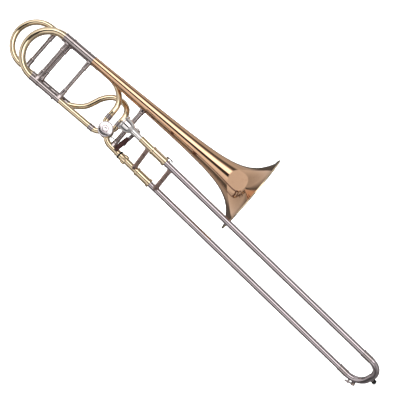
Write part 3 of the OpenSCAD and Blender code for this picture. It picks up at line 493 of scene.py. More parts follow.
class Shape:
    """Gathers closed forms in one base and makes them into one piece."""

    def __init__(self, base):
        self.base = base
        self.bm = bmesh.new()

    def rings(self, rings, closed):
        """Skins rings of points, in the base's millimetres; a ring of one point is a pole."""
        made = [[self.bm.verts.new(self.base.at(p)) for p in ring] for ring in rings]
        pairs = list(zip(made, made[1:]))
        if closed:
            pairs.append((made[-1], made[0]))
        for a, b in pairs:
            n = max(len(a), len(b))
            for k in range(n):
                m = (k + 1) % n
                corners = [a[k % len(a)], a[m % len(a)], b[m % len(b)], b[k % len(b)]]
                unique = []
                for v in corners:
                    if v not in unique:
                        unique.append(v)
                if len(unique) > 2:
                    self.bm.faces.new(unique)

    def lathe(self, start, way, outline, sides=64, closed=True, grooves=0, depth=0.0,
              grooved=None):
        """Turns an outline of (along, radius) around the axis that runs from start along way.

        Grooves are cut where along is between grooved[0] and grooved[1] and the radius is over
        grooved[2].
        """
        way = Vector(way).normalized()
        across = Vector(Y) if abs(way.y) < 0.9 else Vector(X)
        u = (across - way * across.dot(way)).normalized()
        v = way.cross(u)
        rings = []
        for along, radius in outline:
            centre = Vector(start) + way * along
            if radius < 1e-6:
                rings.append([centre])
                continue
            ring = []
            for k in range(sides):
                a = TAU * k / sides
                r = radius
                if grooves and grooved[0] <= along <= grooved[1] and radius > grooved[2]:
                    r -= depth * (0.5 - 0.5 * math.cos(grooves * a))
                ring.append(centre + u * (r * math.cos(a)) + v * (r * math.sin(a)))
            rings.append(ring)
        self.rings(rings, closed)
        return self

    def turn(self, start, way, outline, fillet=0.3, **more):
        """Lathes an outline with rounded corners; one with both ends on the axis stays open."""
        closed = outline[0][1] > 0 or outline[-1][1] > 0
        return self.lathe(start, way, rounded(outline, fillet, closed), closed=closed, **more)

    def sweep(self, path, radius, bore=None, sides=40):
        """Tube along a path; radius and bore are numbers or functions of the path's share."""
        path = [Vector(p) for p in path]
        n = len(path) - 1
        wide = radius if callable(radius) else (lambda t: radius)
        u = Vector(Y)
        frames = []
        for i, p in enumerate(path):
            ahead = (path[min(i + 1, n)] - path[max(i - 1, 0)]).normalized()
            u = (u - ahead * u.dot(ahead)).normalized()
            frames.append((p, u, ahead.cross(u), i / n))

        def ring(part, size):
            p, a, b, t = part
            return [p + (a * math.cos(TAU * k / sides) + b * math.sin(TAU * k / sides)) * size(t)
                    for k in range(sides)]

        outer = [ring(part, wide) for part in frames]
        if bore is None:
            self.rings([[path[0]]] + outer + [[path[-1]]], False)
        else:
            inner = bore if callable(bore) else (lambda t: bore)
            self.rings(outer + [ring(part, inner) for part in reversed(frames)], True)
        return self

    def plate(self, outline, origin, u, v, thickness, bevel=0.4):
        """Flat plate: an outline of (u, v) points, thick along u x v, with bevelled edges."""
        sharp = math.radians(50)
        origin, u, v = Vector(origin), Vector(u).normalized(), Vector(v).normalized()
        bm = bmesh.new()
        low = [bm.verts.new(self.base.at(origin + u * p[0] + v * p[1])) for p in outline]
        face = bm.faces.new(low)
        made = bmesh.ops.extrude_face_region(bm, geom=[face])
        top = [g for g in made["geom"] if isinstance(g, bmesh.types.BMVert)]
        bmesh.ops.translate(bm, vec=self.base.way(u.cross(v)) * thickness * MM, verts=top)
        bmesh.ops.recalc_face_normals(bm, faces=bm.faces)
        edges = [e for e in bm.edges if e.calc_face_angle(0) > sharp]
        bmesh.ops.bevel(bm, geom=edges, offset=bevel * MM, segments=2, affect="EDGES",
                        profile=0.6, clamp_overlap=True)
        spare = bpy.data.meshes.new("spare")
        bm.to_mesh(spare)
        bm.free()
        self.bm.from_mesh(spare)
        bpy.data.meshes.remove(spare)
        return self

    def brace(self, a, b, tube_a, tube_b, rod, socket, length, flare=1.8):
        """Rod between two tubes along x, with a ringed socket and a saddle at each end."""
        sides = 48
        fade = 9.0
        a, b = Vector(a), Vector(b)
        way = (b - a).normalized()
        u = way.cross(Vector(X)).normalized()
        v = way.cross(u)
        foot = socket + flare
        half = [(-0.6, foot), (0.7, foot), (1.3, foot - 0.35), (2.6, socket + 0.45), (4.4, socket)]
        if length > 8:
            half += [(length - 3.6, socket), (length - 3.2, socket + 0.55),
                     (length - 2.2, socket + 0.75), (length - 1.2, socket + 0.55),
                     (length - 0.8, rod + 0.35), (length, rod)]
        else:
            half += [(length, rod)]

        def ring(height, radius, tube_r, end, inward):
            points = []
            for k in range(sides):
                t = TAU * k / sides
                q = radius * math.cos(t)
                edge = min(abs(q), 0.92 * tube_r)
                drop = tube_r - math.sqrt(max(tube_r * tube_r - edge ** 2, 0.0))
                drop *= max(0.0, 1.0 - max(0.0, height) / fade)
                centre = end + inward * (tube_r + height - drop)
                points.append(centre + u * q + v * (radius * math.sin(t)))
            return points

        rings = [ring(height, radius, tube_a, a, way) for height, radius in half]
        rings += [ring(height, radius, tube_b, b, -way) for height, radius in reversed(half)]
        self.rings([[a + way * (tube_a - 1.5)]] + rings + [[b - way * (tube_b - 1.5)]], False)
        return self

    def done(self, name, body, slot, *nodes, sharp=38):
        bmesh.ops.recalc_face_normals(self.bm, faces=self.bm.faces)
        for face in self.bm.faces:
            face.smooth = True
        for edge in self.bm.edges:
            edge.smooth = edge.calc_face_angle(0) < math.radians(sharp)
        mesh = bpy.data.meshes.new(name)
        self.bm.to_mesh(mesh)
        self.bm.free()
        mesh.materials.append(MATERIALS[slot])
        piece = bpy.data.objects.new(name, mesh)
        bpy.context.scene.collection.objects.link(piece)
        weigh = piece.modifiers.new("even_shading", "WEIGHTED_NORMAL")
        weigh.keep_sharp = True
        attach(piece, body)
        if nodes:
            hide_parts(*nodes)
        return piece


def tube(name, base, start, outline, body, slot, *nodes, **more):
    """A turned piece along x."""
    return Shape(base).turn(start, X, outline, **more).done(name, body, slot, *nodes)


# ---------------------------------------------------------------- bell

def bell():
    body = "bell_section"
    stations = 150
    behind_rim = 2.0
    outside, inside = [], []
    for i in range(stations + 1):
        d = behind_rim + (BELL_LENGTH - behind_rim) * (i / stations) ** 2.1
        outside.append((-d, bell_r(d)))
        inside.append((-d, bell_r(d) - BELL_SHEET))
    Shape(BELL).lathe((0, 0, 0), X, outside + inside[::-1], sides=160).done(
        "bell_sheet", body, "rose_brass", "bell_flare", "bell_throat", "bell_stem")
    bead = []
    for k in range(28):
        a = TAU * k / 28
        bead.append((min(RIM_BEAD_R * (math.cos(a) - 1), -0.3), RIM_R + RIM_BEAD_R * math.sin(a)))
    Shape(BELL).lathe((0, 0, 0), X, bead, sides=160).done(
        "bell_rim_bead", body, "yellow_brass", "bell_rim_wire")


# ---------------------------------------------------------------- main tubing

def main_tubing():
    body = "bell_section"
    upper, lower = (0, 0, 0), (0, 0, -BOW_GAP)
    leg = (-565, -BELL_LENGTH)
    tube("upper_leg", BELL, upper, tube_outline(*leg, 11, 10.35, [
        (-564.9, -562, 12), (-518.6, -516.4, 11.7), (-501, -498.1, 11.7)]),
        body, "nickel_silver", "main_outer_leg_upper", sides=72)
    lower_leg = Shape(BELL).turn(lower, X, tube_outline(*leg, 8.1, 7.55, [
        (-564.9, -562, 8.9), (-519, -513, 8.8), (-500, -498.1, 8.5)]))
    lower_leg.turn((-516, 0, -BOW_GAP - 7.5), DOWN, [
        (0, 0), (0, 2.1), (2.6, 2.1), (3.1, 2.0), (3.4, 1.5), (3.6, 0)], sides=32)
    lower_leg.done("lower_leg", body, "nickel_silver", "main_outer_leg_lower")
    tube("lead_tube", BELL, lower, tube_outline(-BELL_LENGTH, LEAD_END_X, MAIN_R, MAIN_BORE),
         body, "yellow_brass", "main_lead_tube")
    ferrules = Shape(BELL)
    ferrules.turn(lower, X, tube_outline(-405, -392, 8.2, 7.52, [
        (-404.9, -403.4, 8.7), (-393.6, -392.1, 8.7)]))
    for x in UPPER_PORTS_X:
        ferrules.turn((x, 0, 0), Z, tube_outline(-85, -73.5, 8.0, 7.32, [
            (-84.9, -83.4, 8.5), (-75.1, -73.6, 8.5)]))
    for z in (F_UP, F_LOW):
        ferrules.turn((0, F_Y, z), X, tube_outline(-503, -484, 8.5, 7.82, [
            (-502.9, -501.4, 9.0), (-485.6, -484.1, 9.0)]))
    ferrules.done("ferrules", body, "nickel_silver", "valve_ferrules")


# ---------------------------------------------------------------- valve

def port_reach(offset, bend):
    """How far from the valve's centre, along x and along z, a bend ends that starts offset away
    and points at the centre."""
    return offset - bend * (1 - cos(PORT_ANGLE))


def knuckles():
    made = Shape(BELL)
    for x, bend, side in zip(UPPER_PORTS_X, (18, 14), (1, -1)):
        reach = port_reach(side * (VALVE[0] - x), bend)
        z = VALVE[2] + reach + bend * sin(PORT_ANGLE)
        line = [Vector((x, 0, PORT_TOP + (z - PORT_TOP) * k / 4)) for k in range(4)]
        start = 180 if side > 0 else 0
        made.sweep(line + arc((x + side * bend, z), bend, start, side * 52, 16), F_R, F_BORE)
    bend = 25
    reach = port_reach(VALVE[2] + BOW_GAP, bend)
    x = VALVE[0] - reach - bend * sin(PORT_ANGLE)
    line = [Vector((LEAD_END_X, 0, -BOW_GAP)), Vector((-397, 0, -BOW_GAP))]
    made.sweep(line + arc((x, bend - BOW_GAP), bend, -90, 48, 16), F_R, F_BORE)
    made.done("valve_knuckles_smooth", "bell_section", "yellow_brass", "valve_knuckles")


def casing():
    body = "bell_section"
    Shape(BELL).turn(VALVE, Y, [
        (-16, 15.35), (-16, 18.5), (-13, 18.5), (-12.6, 17.8), (12.6, 17.8), (13, 18.4),
        (16, 18.4), (16, 15.35)], 0.35, sides=96).done(
        "valve_casing", body, "yellow_brass", "rotor_casing")
    lean = 3.2
    Shape(BELL).turn(VALVE, (0, -cos(lean), sin(lean)), [
        (16, 0), (16, 18.4), (16.4, 19), (19.6, 19), (20.5, 18.6), (21.3, 17.7), (21.91, 16.2),
        (22.18, 14.6), (22.43, 12.4), (22.6, 9.6), (22.0, 9.0), (22.0, 8.3), (23.4, 7.4),
        (25.2, 7.1), (25.9, 6.4), (26.0, 3.4), (25.2, 2.9), (25.2, 0)], 0.25,
        sides=216, grooves=54, depth=0.35, grooved=(16.3, 19.7, 18.6)).done(
        "valve_cap", body, "polished_nickel", "rotor_cap")
    Shape(BELL).turn(VALVE, Y, [
        (16, 3.55), (16, 17.8), (18.2, 17.8), (19, 17.0), (19, 3.55)], 0.4, sides=96).done(
        "valve_back_plate", body, "yellow_brass", "rotor_back_plate")

    holder = Shape(BELL)
    hub = Vector((VALVE[0], 21, VALVE[2]))
    arch = arc((VALVE[0], VALVE[2]), ARCH_R, 0, 180, 24, hub.y)
    section = rounded([(-1.6, -1.98), (1.6, -1.98), (1.6, 2), (-1.6, 2)], 0.5)
    rings = [[p + (p - hub).normalized() * q[0] + Vector(Y) * q[1] for q in section] for p in arch]
    holder.rings([[arch[0]]] + rings + [[arch[-1]]], False)
    for side in (1, -1):
        holder.turn((VALVE[0] + side * ARCH_R, 19, VALVE[2] + 0.8), Y, [
            (0, 0), (0, 1.6), (4.6, 1.6), (4.9, 1.2), (4.9, 0)], sides=24)
    holder.done("bumper_arch", body, "nickel_silver", "bumper_holder")


def rotor():
    body = "rotor"
    Shape(BELL).turn(VALVE, Y, [
        (-19.1, 0), (-19.1, 4.2), (-15.6, 4.2), (-15.6, 15.3), (15.6, 15.3), (15.6, 3.45),
        (19.4, 3.45), (19.4, 0)], sides=72).done("rotor_body", body, "rotor_brass", "rotor")
    stop = Shape(BELL)
    arm = [(10.4, -1.5), (11.0, -0.6), (11.0, 0.6), (10.4, 1.5), (4.9, 1.8), (3.4, 3.9), (0, 5.0),
           (-3.4, 3.9), (-6.2, 2.9), (-9, 3.0), (-11.2, 2.1), (-12.0, 0), (-11.2, -2.1),
           (-9, -3.0), (-6.2, -2.9), (-3.4, -3.9), (0, -5.0), (3.4, -3.9), (4.9, -1.8)]
    lobe = Vector((cos(PORT_ANGLE), 0, sin(PORT_ANGLE)))
    stop.plate(arm, (VALVE[0], 21.9, VALVE[2]), lobe, Vector(Y).cross(lobe), 2.4, 0.45)
    stop.turn((STUD[0], 0, STUD[1]), Y, [
        (19.6, 0), (19.6, 2.4), (22.4, 2.4), (22.6, 1.2), (25.6, 1.2), (26.3, 0.7), (26.3, 0)],
        sides=32)
    stop.done("stop_arm_plate", body, "nickel_silver", "stop_arm")
    screw = Shape(BELL).turn(VALVE, Y, [
        (21.5, 0), (21.5, 3.1), (23.0, 3.1), (23.5, 2.6), (23.6, 0)], 0.35, sides=40)
    for side in (-1, 1):
        bar = [(-2.9, side * 0.4), (-2.9, side * 1.0), (2.9, side * 1.0), (2.9, side * 0.4)]
        screw.plate(bar[::side], (VALVE[0], 23.9, VALVE[2]), X, DOWN, -0.35, 0.1)
    screw.done("stop_arm_screw", body, "steel")


def gooseneck():
    body = "bell_section"
    bend, length = 33.3, 22.3
    start = (VALVE[0] + 12, VALVE[2] - 12)
    centre = (start[0] + bend * sin(PORT_ANGLE), start[1] + bend * cos(PORT_ANGLE))
    path = arc(centre, bend, 222, 48 - SPLAY, 22)
    last = path[-1]
    head = Vector((cos(SPLAY), 0, -sin(SPLAY)))
    path += [last + head * length * k / 4 for k in range(1, 5)]
    Shape(BELL).sweep(path, MAIN_R, MAIN_BORE).done(
        "gooseneck_tube", body, "yellow_brass", "gooseneck")
    low = (0, 0, -SLIDE_GAP)
    tube("neck_receiver_turned", ROW, low, [
        (26, 7.65), (26, 8.3), (27, 8.9), (29.6, 8.9), (30.2, 8.5), (33.6, 8.5), (34.2, 8.9),
        (46.5, 8.9), (46.5, 8.0), (30, 7.4)], body, "yellow_brass", "neck_receiver")
    tube("neck_ring", ROW, low, [
        (35.8, 9.1), (35.8, 10.1), (36.3, 10.5), (38.9, 10.5), (39.4, 10.1), (39.4, 9.1)],
        body, "black_rubber", "receiver_ring", fillet=0.5)


# ---------------------------------------------------------------- F attachment

def f_attachment():
    body = "bell_section"
    legs = Shape(BELL)
    for z in (F_UP, F_LOW):
        legs.turn((0, F_Y, z), X, tube_outline(-581, -494, 7.8, 7.25, [(-580.9, -578, 8.6)]))
    legs.done("f_legs_outer", body, "nickel_silver", "f_outer_legs")
    upper = [(-494, F_Y, F_UP), (-470, F_Y, F_UP), (-446, F_Y, -3), (-430, 25, -6),
             (-413.5, 19, -13.5), (-400, 12, -23), (-390, 6, -34.5), (-384.5, 2, -47),
             (-383, 0.2, -59), (-383, 0, -70), (-383, 0, PORT_TOP)]
    lower = [(-494, F_Y, F_LOW), (-484, F_Y, F_LOW), (-475, F_Y, -116), (-465.5, F_Y, -110.5),
             (-455, F_Y, -102.5), (-445, F_Y, -91), (-437, F_Y, -74), (-430, F_Y, -57.5),
             (-418, F_Y, -41.5), (-405, F_Y, -32.5), (-391, 26, -29), (-378, 22, -29.5),
             (-365, 13, -35.5), (-356.5, 4.8, -46), (-353.7, 1.2, -56), (-353, 0.1, -64),
             (-353, 0, -71), (-353, 0, PORT_TOP)]
    Shape(BELL).sweep(curve(upper, 9), F_R, F_BORE).done(
        "f_tube_upper", body, "yellow_brass", "f_upper_tube")
    Shape(BELL).sweep(curve(lower, 8), F_R, F_BORE).done(
        "f_tube_lower", body, "yellow_brass", "f_lower_tube")


def f_slide():
    body = "f_tuning_slide"
    straight = 44.6
    top = [Vector((F_BOW_X + straight * (1 - k / 4), F_Y, F_UP)) for k in range(4)]
    low = [Vector((F_BOW_X + straight * k / 4, F_Y, F_LOW)) for k in range(1, 5)]
    bow = arc((F_BOW_X, F_UP - F_BEND), F_BEND, 90, 180, 64, F_Y)
    Shape(BELL).sweep(top + bow + low, F_R, F_BORE).done(
        "f_bow_tube", body, "yellow_brass", "f_bow")
    legs = Shape(BELL)
    collars = Shape(BELL)
    for z in (F_UP, F_LOW):
        legs.turn((0, F_Y, z), X, tube_outline(-597, -502, 7.2, 6.7), 0.2)
        collars.turn((0, F_Y, z), X, tube_outline(-598, -581.5, 8.3, 7.32, [
            (-597.9, -595.6, 8.8), (-583.9, -581.6, 8.8)]))
    legs.done("f_legs_inner", body, "nickel_silver", "f_inner_legs")
    collars.done("f_bow_collars", body, "nickel_silver", "f_bow_ferrules")
    Shape(BELL).brace((-620, F_Y, F_UP), (-620, F_Y, F_LOW), F_R, F_R, 5.0, 6.0, 22).done(
        "f_bow_stay", body, "nickel_silver", "f_bow_brace")


def stays():
    body = "bell_section"
    across = Shape(BELL).brace((-572, F_Y, F_UP), (-572, F_Y, F_LOW), 7.8, 7.8, 4.2, 5.3, 22)
    across.brace((-504, 0, 0), (-504, 0, -BOW_GAP), 11.0, 8.1, 5.0, 6.0, 22)
    across.done("leg_stays", body, "nickel_silver", "cross_braces")
    posts = Shape(BELL)
    posts.brace((-540, 0, 0), (-540, F_Y, F_UP), 11, 7.8, 3.4, 4.2, 3, 1.2)
    posts.brace((-540, 0, -BOW_GAP), (-540, F_Y, F_LOW), 8.1, 7.8, 3.4, 4.2, 3, 1.2)
    posts.done("f_leg_posts", body, "nickel_silver", "f_posts")


# ---------------------------------------------------------------- main tuning slide

def main_slide():
    body = "main_tuning_slide"
    upper, lower = (0, 0, 0), (0, 0, -BOW_GAP)
    bend = BOW_GAP / 2
    Shape(BELL).sweep(arc((BOW_X, -bend), bend, 90, 180, 72), lambda t: 9.9 - 1.8 * t,
                      lambda t: 9.3 - 1.8 * t, sides=48).done(
        "main_bow_tube", body, "yellow_brass", "main_bow")
    collars = Shape(BELL)
    collars.turn(upper, X, tube_outline(-588, -565.5, 10.95, 10.0, [
        (-587.9, -585.4, 11.5), (-568.1, -565.6, 11.5)]), sides=72)
    collars.turn(lower, X, tube_outline(-588, -565.5, 8.4, 8.1, [
        (-587.9, -585.4, 8.85), (-568.1, -565.6, 8.85)]))
    collars.done("main_bow_collars", body, "nickel_silver", "main_bow_ferrules")
    legs = Shape(BELL)
    legs.turn(upper, X, tube_outline(-586, -506, 10.3, 9.8), 0.2, sides=72)
    legs.turn(lower, X, tube_outline(-586, -506, MAIN_R, MAIN_BORE), 0.2)
    legs.done("main_legs_inner", body, "nickel_silver", "main_inner_legs")
    Shape(BELL).brace((-573.4, 0, 0), (-573.4, 0, -BOW_GAP), 11.0, 8.4, 5.0, 6.0, 22).done(
        "main_bow_stay", body, "nickel_silver", "main_bow_brace")


# ---------------------------------------------------------------- bell brace, lever, linkage

def lever_mount():
    body = "bell_section"
    neck_z = -131.1 + (-319.3 - BRACE_X) * math.tan(math.radians(SPLAY))
    Shape(BELL).brace((BRACE_X, 0, neck_z), (BRACE_X, 0, 0), MAIN_R, bell_r(-BRACE_X), 5.98, 6.9,
                      9, 0.8).done("bell_stay", body, "nickel_silver", "bell_brace")
    x, _, z = LEVER_PIVOT
    bracket = Shape(BELL)
    bracket.turn((BRACE_X, 0, z), Z, [(-6, 6.02), (-6, 7.6), (6, 7.6), (6, 6.02)], 0.5)
    bracket.plate([(0, -3), (14, -3), (14, 3), (0, 3)], (BRACE_X + 6.4, -3.6, z), X, Z, -7.2, 0.6)
    bracket.turn((x, 0, z), Y, [(-5, 3.25), (-5, 4.8), (5, 4.8), (5, 3.25)], 0.4)
    bracket.done("lever_bearing", body, "nickel_silver", "lever_bracket")


def touch_piece():
    """A superellipse section along the thumb's pad, rounded off at both ends."""
    top, length, y = -28.5, 42.5, -13.5
    half_width, half_depth = 6.0, 2.3
    power = 2 / 3
    rounding = 0.05
    count, sides = 28, 36
    rings = []
    for i in range(count + 1):
        t = i / count
        to_end = min(t, 1 - t)
        ends = 1.0
        if to_end < rounding:
            ends = math.sqrt(max(0.0, 1 - (1 - to_end / rounding) ** 2))
        swell = 1.0 + 0.06 * math.cos(TAU * (t - 0.5))
        dish = 0.25 * math.sin(math.pi * t)
        ring = []
        for k in range(sides):
            c, s = math.cos(TAU * k / sides), math.sin(TAU * k / sides)
            qx = half_width * math.copysign(abs(c) ** power, c) * swell * (0.55 + 0.45 * ends)
            qy = half_depth * math.copysign(abs(s) ** power, s) * (0.35 + 0.65 * ends)
            ring.append(Vector((qx, y + qy - dish, top - length * t)))
        rings.append(ring)
    grip = Shape(LEVER)
    grip.rings([[Vector((0, y, top))]] + rings + [[Vector((0, y, top - length))]], False)
    grip.done("thumb_touch_piece", "thumb_lever", "black_grip", "thumb_grip", sharp=60)


def lever():
    body = "thumb_lever"
    pivot = LEVER_PIVOT
    Shape(BELL).turn(pivot, Y, [
        (-15.6, 0), (-15.6, 2.4), (-15.0, 3.2), (23.6, 3.2), (24.2, 2.4), (24.2, 0)],
        sides=48).done("lever_axle", body, "steel", "lever_shaft")
    arm = Shape(LEVER)
    arm.turn((0, 0, 0), Y, [(-15, 3.22), (-15, 5), (-12, 5), (-12, 3.22)], 0.4)
    arm.plate([(-3.2, -4), (3.2, -4), (2.9, -12), (2.5, -20), (2.5, -68), (-2.5, -68),
               (-2.5, -20), (-2.9, -12)], (0, -12.4, 0), X, Z, 2.2, 0.5)
    arm.done("thumb_lever_arm", body, "nickel_silver", "thumb_arm")
    touch_piece()
    link = Shape(LEVER)
    link.turn((0, 0, 0), Y, [(21, 3.22), (21, 5), (23.5, 5), (23.5, 3.22)], 0.4)
    link.plate([(-3.0, -3.8), (3.0, -3.8), (2.2, -12), (2.0, -38), (3.0, -42), (3.4, -45.6),
                (2.4, -48), (0, -49), (-2.4, -48), (-3.4, -45.6), (-3.0, -42), (-2.0, -38),
                (-2.2, -12)], (0, 23.5, 0), X, Z, 2.5, 0.5)
    link.turn((0, 0, -LINK_ARM), Y, [
        (20.6, 0), (20.6, 2.2), (23.4, 2.2), (23.5, 1.5), (28.2, 1.5), (28.4, 1.0), (28.4, 0)],
        0.25, sides=32)
    link.done("link_lever_arm", body, "nickel_silver", "link_arm")
    coil_r, pitch, turns, steps = 4.3, 1.5, 6, 26
    coil = []
    for i in range(turns * steps + 1):
        a = TAU * i / steps
        coil.append(Vector((pivot[0] + coil_r * math.cos(a), 6 + pitch * i / steps,
                            pivot[2] + coil_r * math.sin(a))))
    tail = [Vector((pivot[0] + coil_r, 15.2, pivot[2] - 2 - 3 * k)) for k in range(1, 5)]
    Shape(BELL).sweep(coil + tail, 0.5, sides=10).done(
        "lever_spring_coil", body, "steel", "lever_spring")


def linkage():
    eye = Vector((LEVER_PIVOT[0] - LINK_ARM * sin(LEVER_REST), 0,
                  LEVER_PIVOT[2] - LINK_ARM * cos(LEVER_REST)))
    cup = Vector((STUD[0], 0, STUD[1] - 1.1))
    rod = Shape(BELL)
    for end, bore, radius in ((eye, 1.56, 3.2), (cup, 3, 4.2)):
        rod.turn(end, Y, [(24.3, bore), (24.3, radius), (27.9, radius), (27.9, bore)], 0.45,
                 sides=40)
    span = (cup - eye).length
    rod.turn(eye + Vector((0, 26, 0)), cup - eye, [
        (2.6, 0), (2.6, 1.9), (7.0, 1.9), (7.6, 1.3), (span - 11, 1.3), (span - 10.4, 2.0),
        (span - 5, 2.0), (span - 3.6, 1.6), (span - 3.6, 0)], sides=28)
    rod.done("linkage_rod_turned", "linkage_rod", "steel", "linkage_rod")


# ---------------------------------------------------------------- hand slide

UP, LOW = (0, 0, 0), (0, 0, -SLIDE_GAP)


def around_slide(degrees):
    """Unit vectors out of the slide at an angle from z towards y, and square to that and x."""
    return Vector((0, sin(degrees), cos(degrees))), Vector((0, cos(degrees), -sin(degrees)))


def inner_slide():
    body = "inner_slide"
    tube("mouthpiece_receiver", ROW, UP, [
        (57.2, 6.99), (57.2, 8.3), (57.6, 8.6), (59.4, 8.6), (59.8, 8.1), (93, 8.1), (93, 7.21),
        (88, 7.21), (88, 6.3), (80, 6.27)], body, "yellow_brass", "slide_receiver")
    tube("neck_tenon_turned", ROW, LOW, [
        (30.5, 6.95), (30.5, 7.31), (46.9, 7.89), (46.9, 8.8), (48.3, 8.8), (48.3, 8.1), (93, 8.1),
        (93, 7.21), (88, 7.21), (88, 6.95)], body, "yellow_brass", "neck_tenon")
    for start, name in ((UP, "upper"), (LOW, "lower")):
        outline = [(88.1, 6.95), (88.1, 7.2), (672.5, 7.2), (672.9, 7.3), (772.1, 7.3),
                   (772.5, 7.1), (772.5, 6.95)]
        Shape(ROW).lathe(start, X, outline).done(
            "inner_tube_%s_drawn" % name, body, "chrome", "inner_tube_" + name)
    head = [(93, 7.22), (93, 10.4), (93.5, 10.9), (97.5, 10.9), (98, 10.4), (98.4, 9.7)]
    tail = [(97.5, 8.25), (97.5, 7.22)]
    tube("barrel_upper", ROW, UP, head + [(136.5, 9.7), (136.5, 8.25)] + tail,
         body, "yellow_brass", "cork_barrel_upper")
    tube("barrel_lower", ROW, LOW, head + [
        (130.6, 9.7), (131, 10.8), (131.6, 11.3), (137.4, 11.3), (138, 10.8), (138, 8.25)] + tail,
        body, "yellow_brass", "cork_barrel_lower")
    Shape(ROW).brace((84.5, 0, 0), (84.5, 0, -SLIDE_GAP), 8.1, 8.1, 5.9, 6.4, 7, 1.0).done(
        "left_hand_stay", body, "warm_nickel", "inner_brace")


def lock_parts():
    grooves = 36
    tube("lock_nut_knurled", ROW, LOW, [
        (40, 8.98), (40, 9.5), (40.3, 9.7), (46.6, 9.7), (47.4, 10.4), (48.6, 11.0), (50.0, 11.0),
        (50.4, 11.9), (57.8, 11.9), (58.2, 11.0), (59.1, 11.0), (59.6, 10.5), (59.6, 8.16),
        (48.6, 8.16), (48.6, 8.98)], "lock_nut", "yellow_brass", "lock_nut",
        sides=grooves * 4, grooves=grooves, depth=0.55, grooved=(50.2, 58.0, 11.2))
    tube("slide_lock_collar", ROW, UP, [
        (129.4, 9.75), (129.4, 11.0), (129.8, 11.4), (131.4, 11.4), (131.8, 11.0), (133.2, 11.0),
        (133.6, 11.4), (135.2, 11.4), (135.6, 11.0), (135.6, 9.75)],
        "slide_lock", "yellow_brass", "slide_lock_ring", fillet=0.25, sides=96)
    out, side = around_slide(45)
    hook = [(129.6, 11.0), (129.6, 13.6), (131.0, 14.3), (144.0, 14.4), (146.6, 13.9),
            (147.8, 12.4), (147.8, 9.4), (144.4, 9.4), (144.2, 11.4), (136.2, 11.6), (135.4, 11.0)]
    Shape(ROW).plate(hook, side * 2.5, X, out, 5, 0.45).done(
        "slide_lock_hook", "slide_lock", "nickel_silver")


def outer_slide():
    body = "outer_slide"
    for start, name in ((UP, "upper"), (LOW, "lower")):
        tube("outer_tube_%s_drawn" % name, ROW, start, tube_outline(104, 774.5, OUTER_R, 7.36),
             body, "slide_nickel", "outer_tube_" + name, fillet=0.12, sides=72)
    stay = Shape(ROW)
    stay.brace((155.5, 0, 0), (155.5, 0, -SLIDE_GAP), OUTER_R, OUTER_R, 5.9, 6.6, 8, 1.0)
    for degrees, height in ((5, 3.4), (225, 1.9)):
        out, side = around_slide(degrees)
        top = 7.6 + height
        stay.plate([(140.4, 7.5), (143.4, 7.5), (143.4, top), (140.4, top)], side * 2, X, out, 4)
    stay.done("right_hand_stay", body, "warm_nickel", "outer_brace")
    sleeves = Shape(ROW)
    for start in (UP, LOW):
        sleeves.turn(start, X, [
            (763.5, 7.74), (763.5, 8.5), (764.1, 8.9), (766.0, 8.9), (766.4, 8.5), (785.4, 8.5),
            (785.8, 8.9), (788.0, 8.9), (788.5, 8.5), (788.5, 8.12), (774.6, 8.12),
            (774.6, 7.74)], 0.25)
    sleeves.done("crook_collars", body, "nickel_silver", "crook_sleeves")
    bend = CROOK_BEND
    path = [Vector((CROOK_X - CROOK_LEG * (1 - k / 3), 0, 0)) for k in range(3)]
    path += arc((CROOK_X, -bend), bend, 90, -90, 30)
    path += [Vector((CROOK_X + bend, 0, -bend - 17 * k / 4)) for k in range(1, 4)]
    path += arc((CROOK_X, bend - SLIDE_GAP), bend, 0, -90, 30)
    path += [Vector((CROOK_X - CROOK_LEG * k / 3, 0, -SLIDE_GAP)) for k in range(1, 4)]
    crook = Shape(ROW).sweep(path, CROOK_R, 7.4, sides=48)
    seat = (CROOK_X + bend, 0, -SLIDE_GAP / 2)
    crook.turn(seat, X, [(7.4, 0), (7.4, 5.4), (8.6, 5.2), (9.4, 4.0), (10.3, 4.0), (10.3, 0)],
               sides=40)
    crook.done("crook_bow", body, "slide_nickel", "crook")
    tube("crook_tip", ROW, seat, [
        (10.3, 0), (10.3, 5.4), (10.9, 5.9), (15.8, 5.9), (17.2, 5.1), (17.9, 3.2), (17.9, 0)],
        body, "black_rubber", "crook_bumper", fillet=0.7)


# ---------------------------------------------------------------- water key

def water_key_posts():
    seat = Shape(KEY)
    seat.turn(KEY_PAD, DOWN, [
        (7.4, 1.7), (7.4, 5.3), (9.6, 5.1), (10, 4.4), (12, 4.4), (12, 1.7)], sides=40)
    for side in (-1, 1):
        seat.plate([(-7.6, -7.2), (-2.4, -7.2), (-2.8, -12), (-3.1, -15.1), (-5, -16.2),
                    (-6.9, -15.1), (-7.2, -12)], (0, side * 4.4 + 1.2, 0), X, Z, 2.4, 0.3)
    seat.turn(KEY_PIVOT, Y, [
        (-6.8, 0), (-6.8, 1.6), (-5.5, 1.95), (-5.3, 0.98), (5.3, 0.98), (5.3, 0)], 0.2, sides=32)
    seat.done("water_key_posts", "outer_slide", "nickel_silver", "water_key_seat")


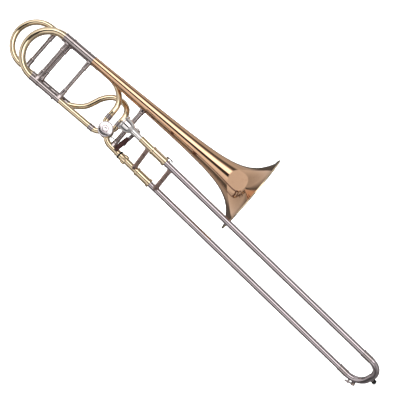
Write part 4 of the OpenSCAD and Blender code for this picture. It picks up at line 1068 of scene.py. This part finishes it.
def water_key():
    body = "water_key"
    key = Shape(KEY)
    key.turn(KEY_PIVOT, Y, [(-3.1, 1.04), (-3.1, 2.3), (3.1, 2.3), (3.1, 1.04)], sides=40)
    key.plate([(-3.6, -2.4), (3.4, -2.4), (5, -3.2), (5, 3.2), (3.4, 2.4), (-3.6, 2.4)],
              (0, 0, -16.0), X, Y, 2.6)
    key.turn(KEY_PAD, DOWN, [
        (14.6, 0), (14.6, 3.8), (12.6, 3.8), (12.6, 5.3), (15.6, 5.3), (16.6, 4.7), (17.0, 3.4),
        (17.0, 0)], sides=48)
    key.plate([(-14, -1.8), (-13.4, -2.8), (-12, -3.1), (-8, -2.6), (-5.2, -2.2), (-5.2, 2.2),
               (-8, 2.6), (-12, 3.1), (-13.4, 2.8), (-14, 1.8)], (0, 0, -16.2), X, Y, 2.4)
    key.done("water_key_lever", body, "nickel_silver", "water_key")
    Shape(KEY).turn(KEY_PAD, DOWN, [(12.1, 0), (12.1, 3.7), (14.6, 3.7), (14.6, 0)], 0.4,
                    sides=40).done("water_key_cork", body, "cork", "key_pad")
    coil_r, pitch, turns, steps = 2.75, 0.5, 3, 20
    for side, name in ((-1, "right"), (1, "left")):
        coil = []
        for i in range(turns * steps + 1):
            a = TAU * i / steps
            coil.append(Vector((KEY_PIVOT[0] + coil_r * math.cos(a),
                                side * (2.9 - pitch * i / steps),
                                KEY_PIVOT[2] + coil_r * math.sin(a))))
        Shape(KEY).sweep(coil, 0.28, sides=8).done("water_key_spring_" + name, body, "steel")


# ---------------------------------------------------------------- mouthpiece

def mouthpiece():
    throat, cup_r, cup_start, cup_depth = 3.6, 12.9, 26, 23.6
    outline = [
        (0.3, 14.2), (0.0, 15.4), (0.0, 16.6), (0.5, 18.0), (1.4, 18.9), (2.6, 19.2), (3.9, 19.1),
        (4.7, 18.5), (5.3, 17.4), (6.2, 16.5), (7.6, 16.2), (10.5, 16.3), (13.5, 16.2),
        (16.5, 15.9), (19.5, 15.2), (22.3, 14.1), (24.8, 12.7), (27.0, 11.1), (28.9, 9.6),
        (30.8, 8.5), (33, 7.9), (37, 7.6), (57.2, 6.92), (78.6, 6.22), (79, 6.0), (79, 5.3),
        (60, 4.6), (33, throat), (28, throat)]
    for k in range(13):
        a = 90 * k / 12
        outline.append((cup_start - cup_depth * (1 - cos(a)), throat + (cup_r - throat) * sin(a)))
    outline.append((0.9, 13.2))
    Shape(ROW).lathe(UP, X, outline, sides=128).done(
        "mouthpiece_turned", "mouthpiece", "silver_plate", "mouthpiece", sharp=50)


bell()
main_tubing()
knuckles()
casing()
rotor()
gooseneck()
f_attachment()
f_slide()
stays()
main_slide()
lever_mount()
lever()
linkage()
inner_slide()
lock_parts()
outer_slide()
water_key_posts()
water_key()
mouthpiece()
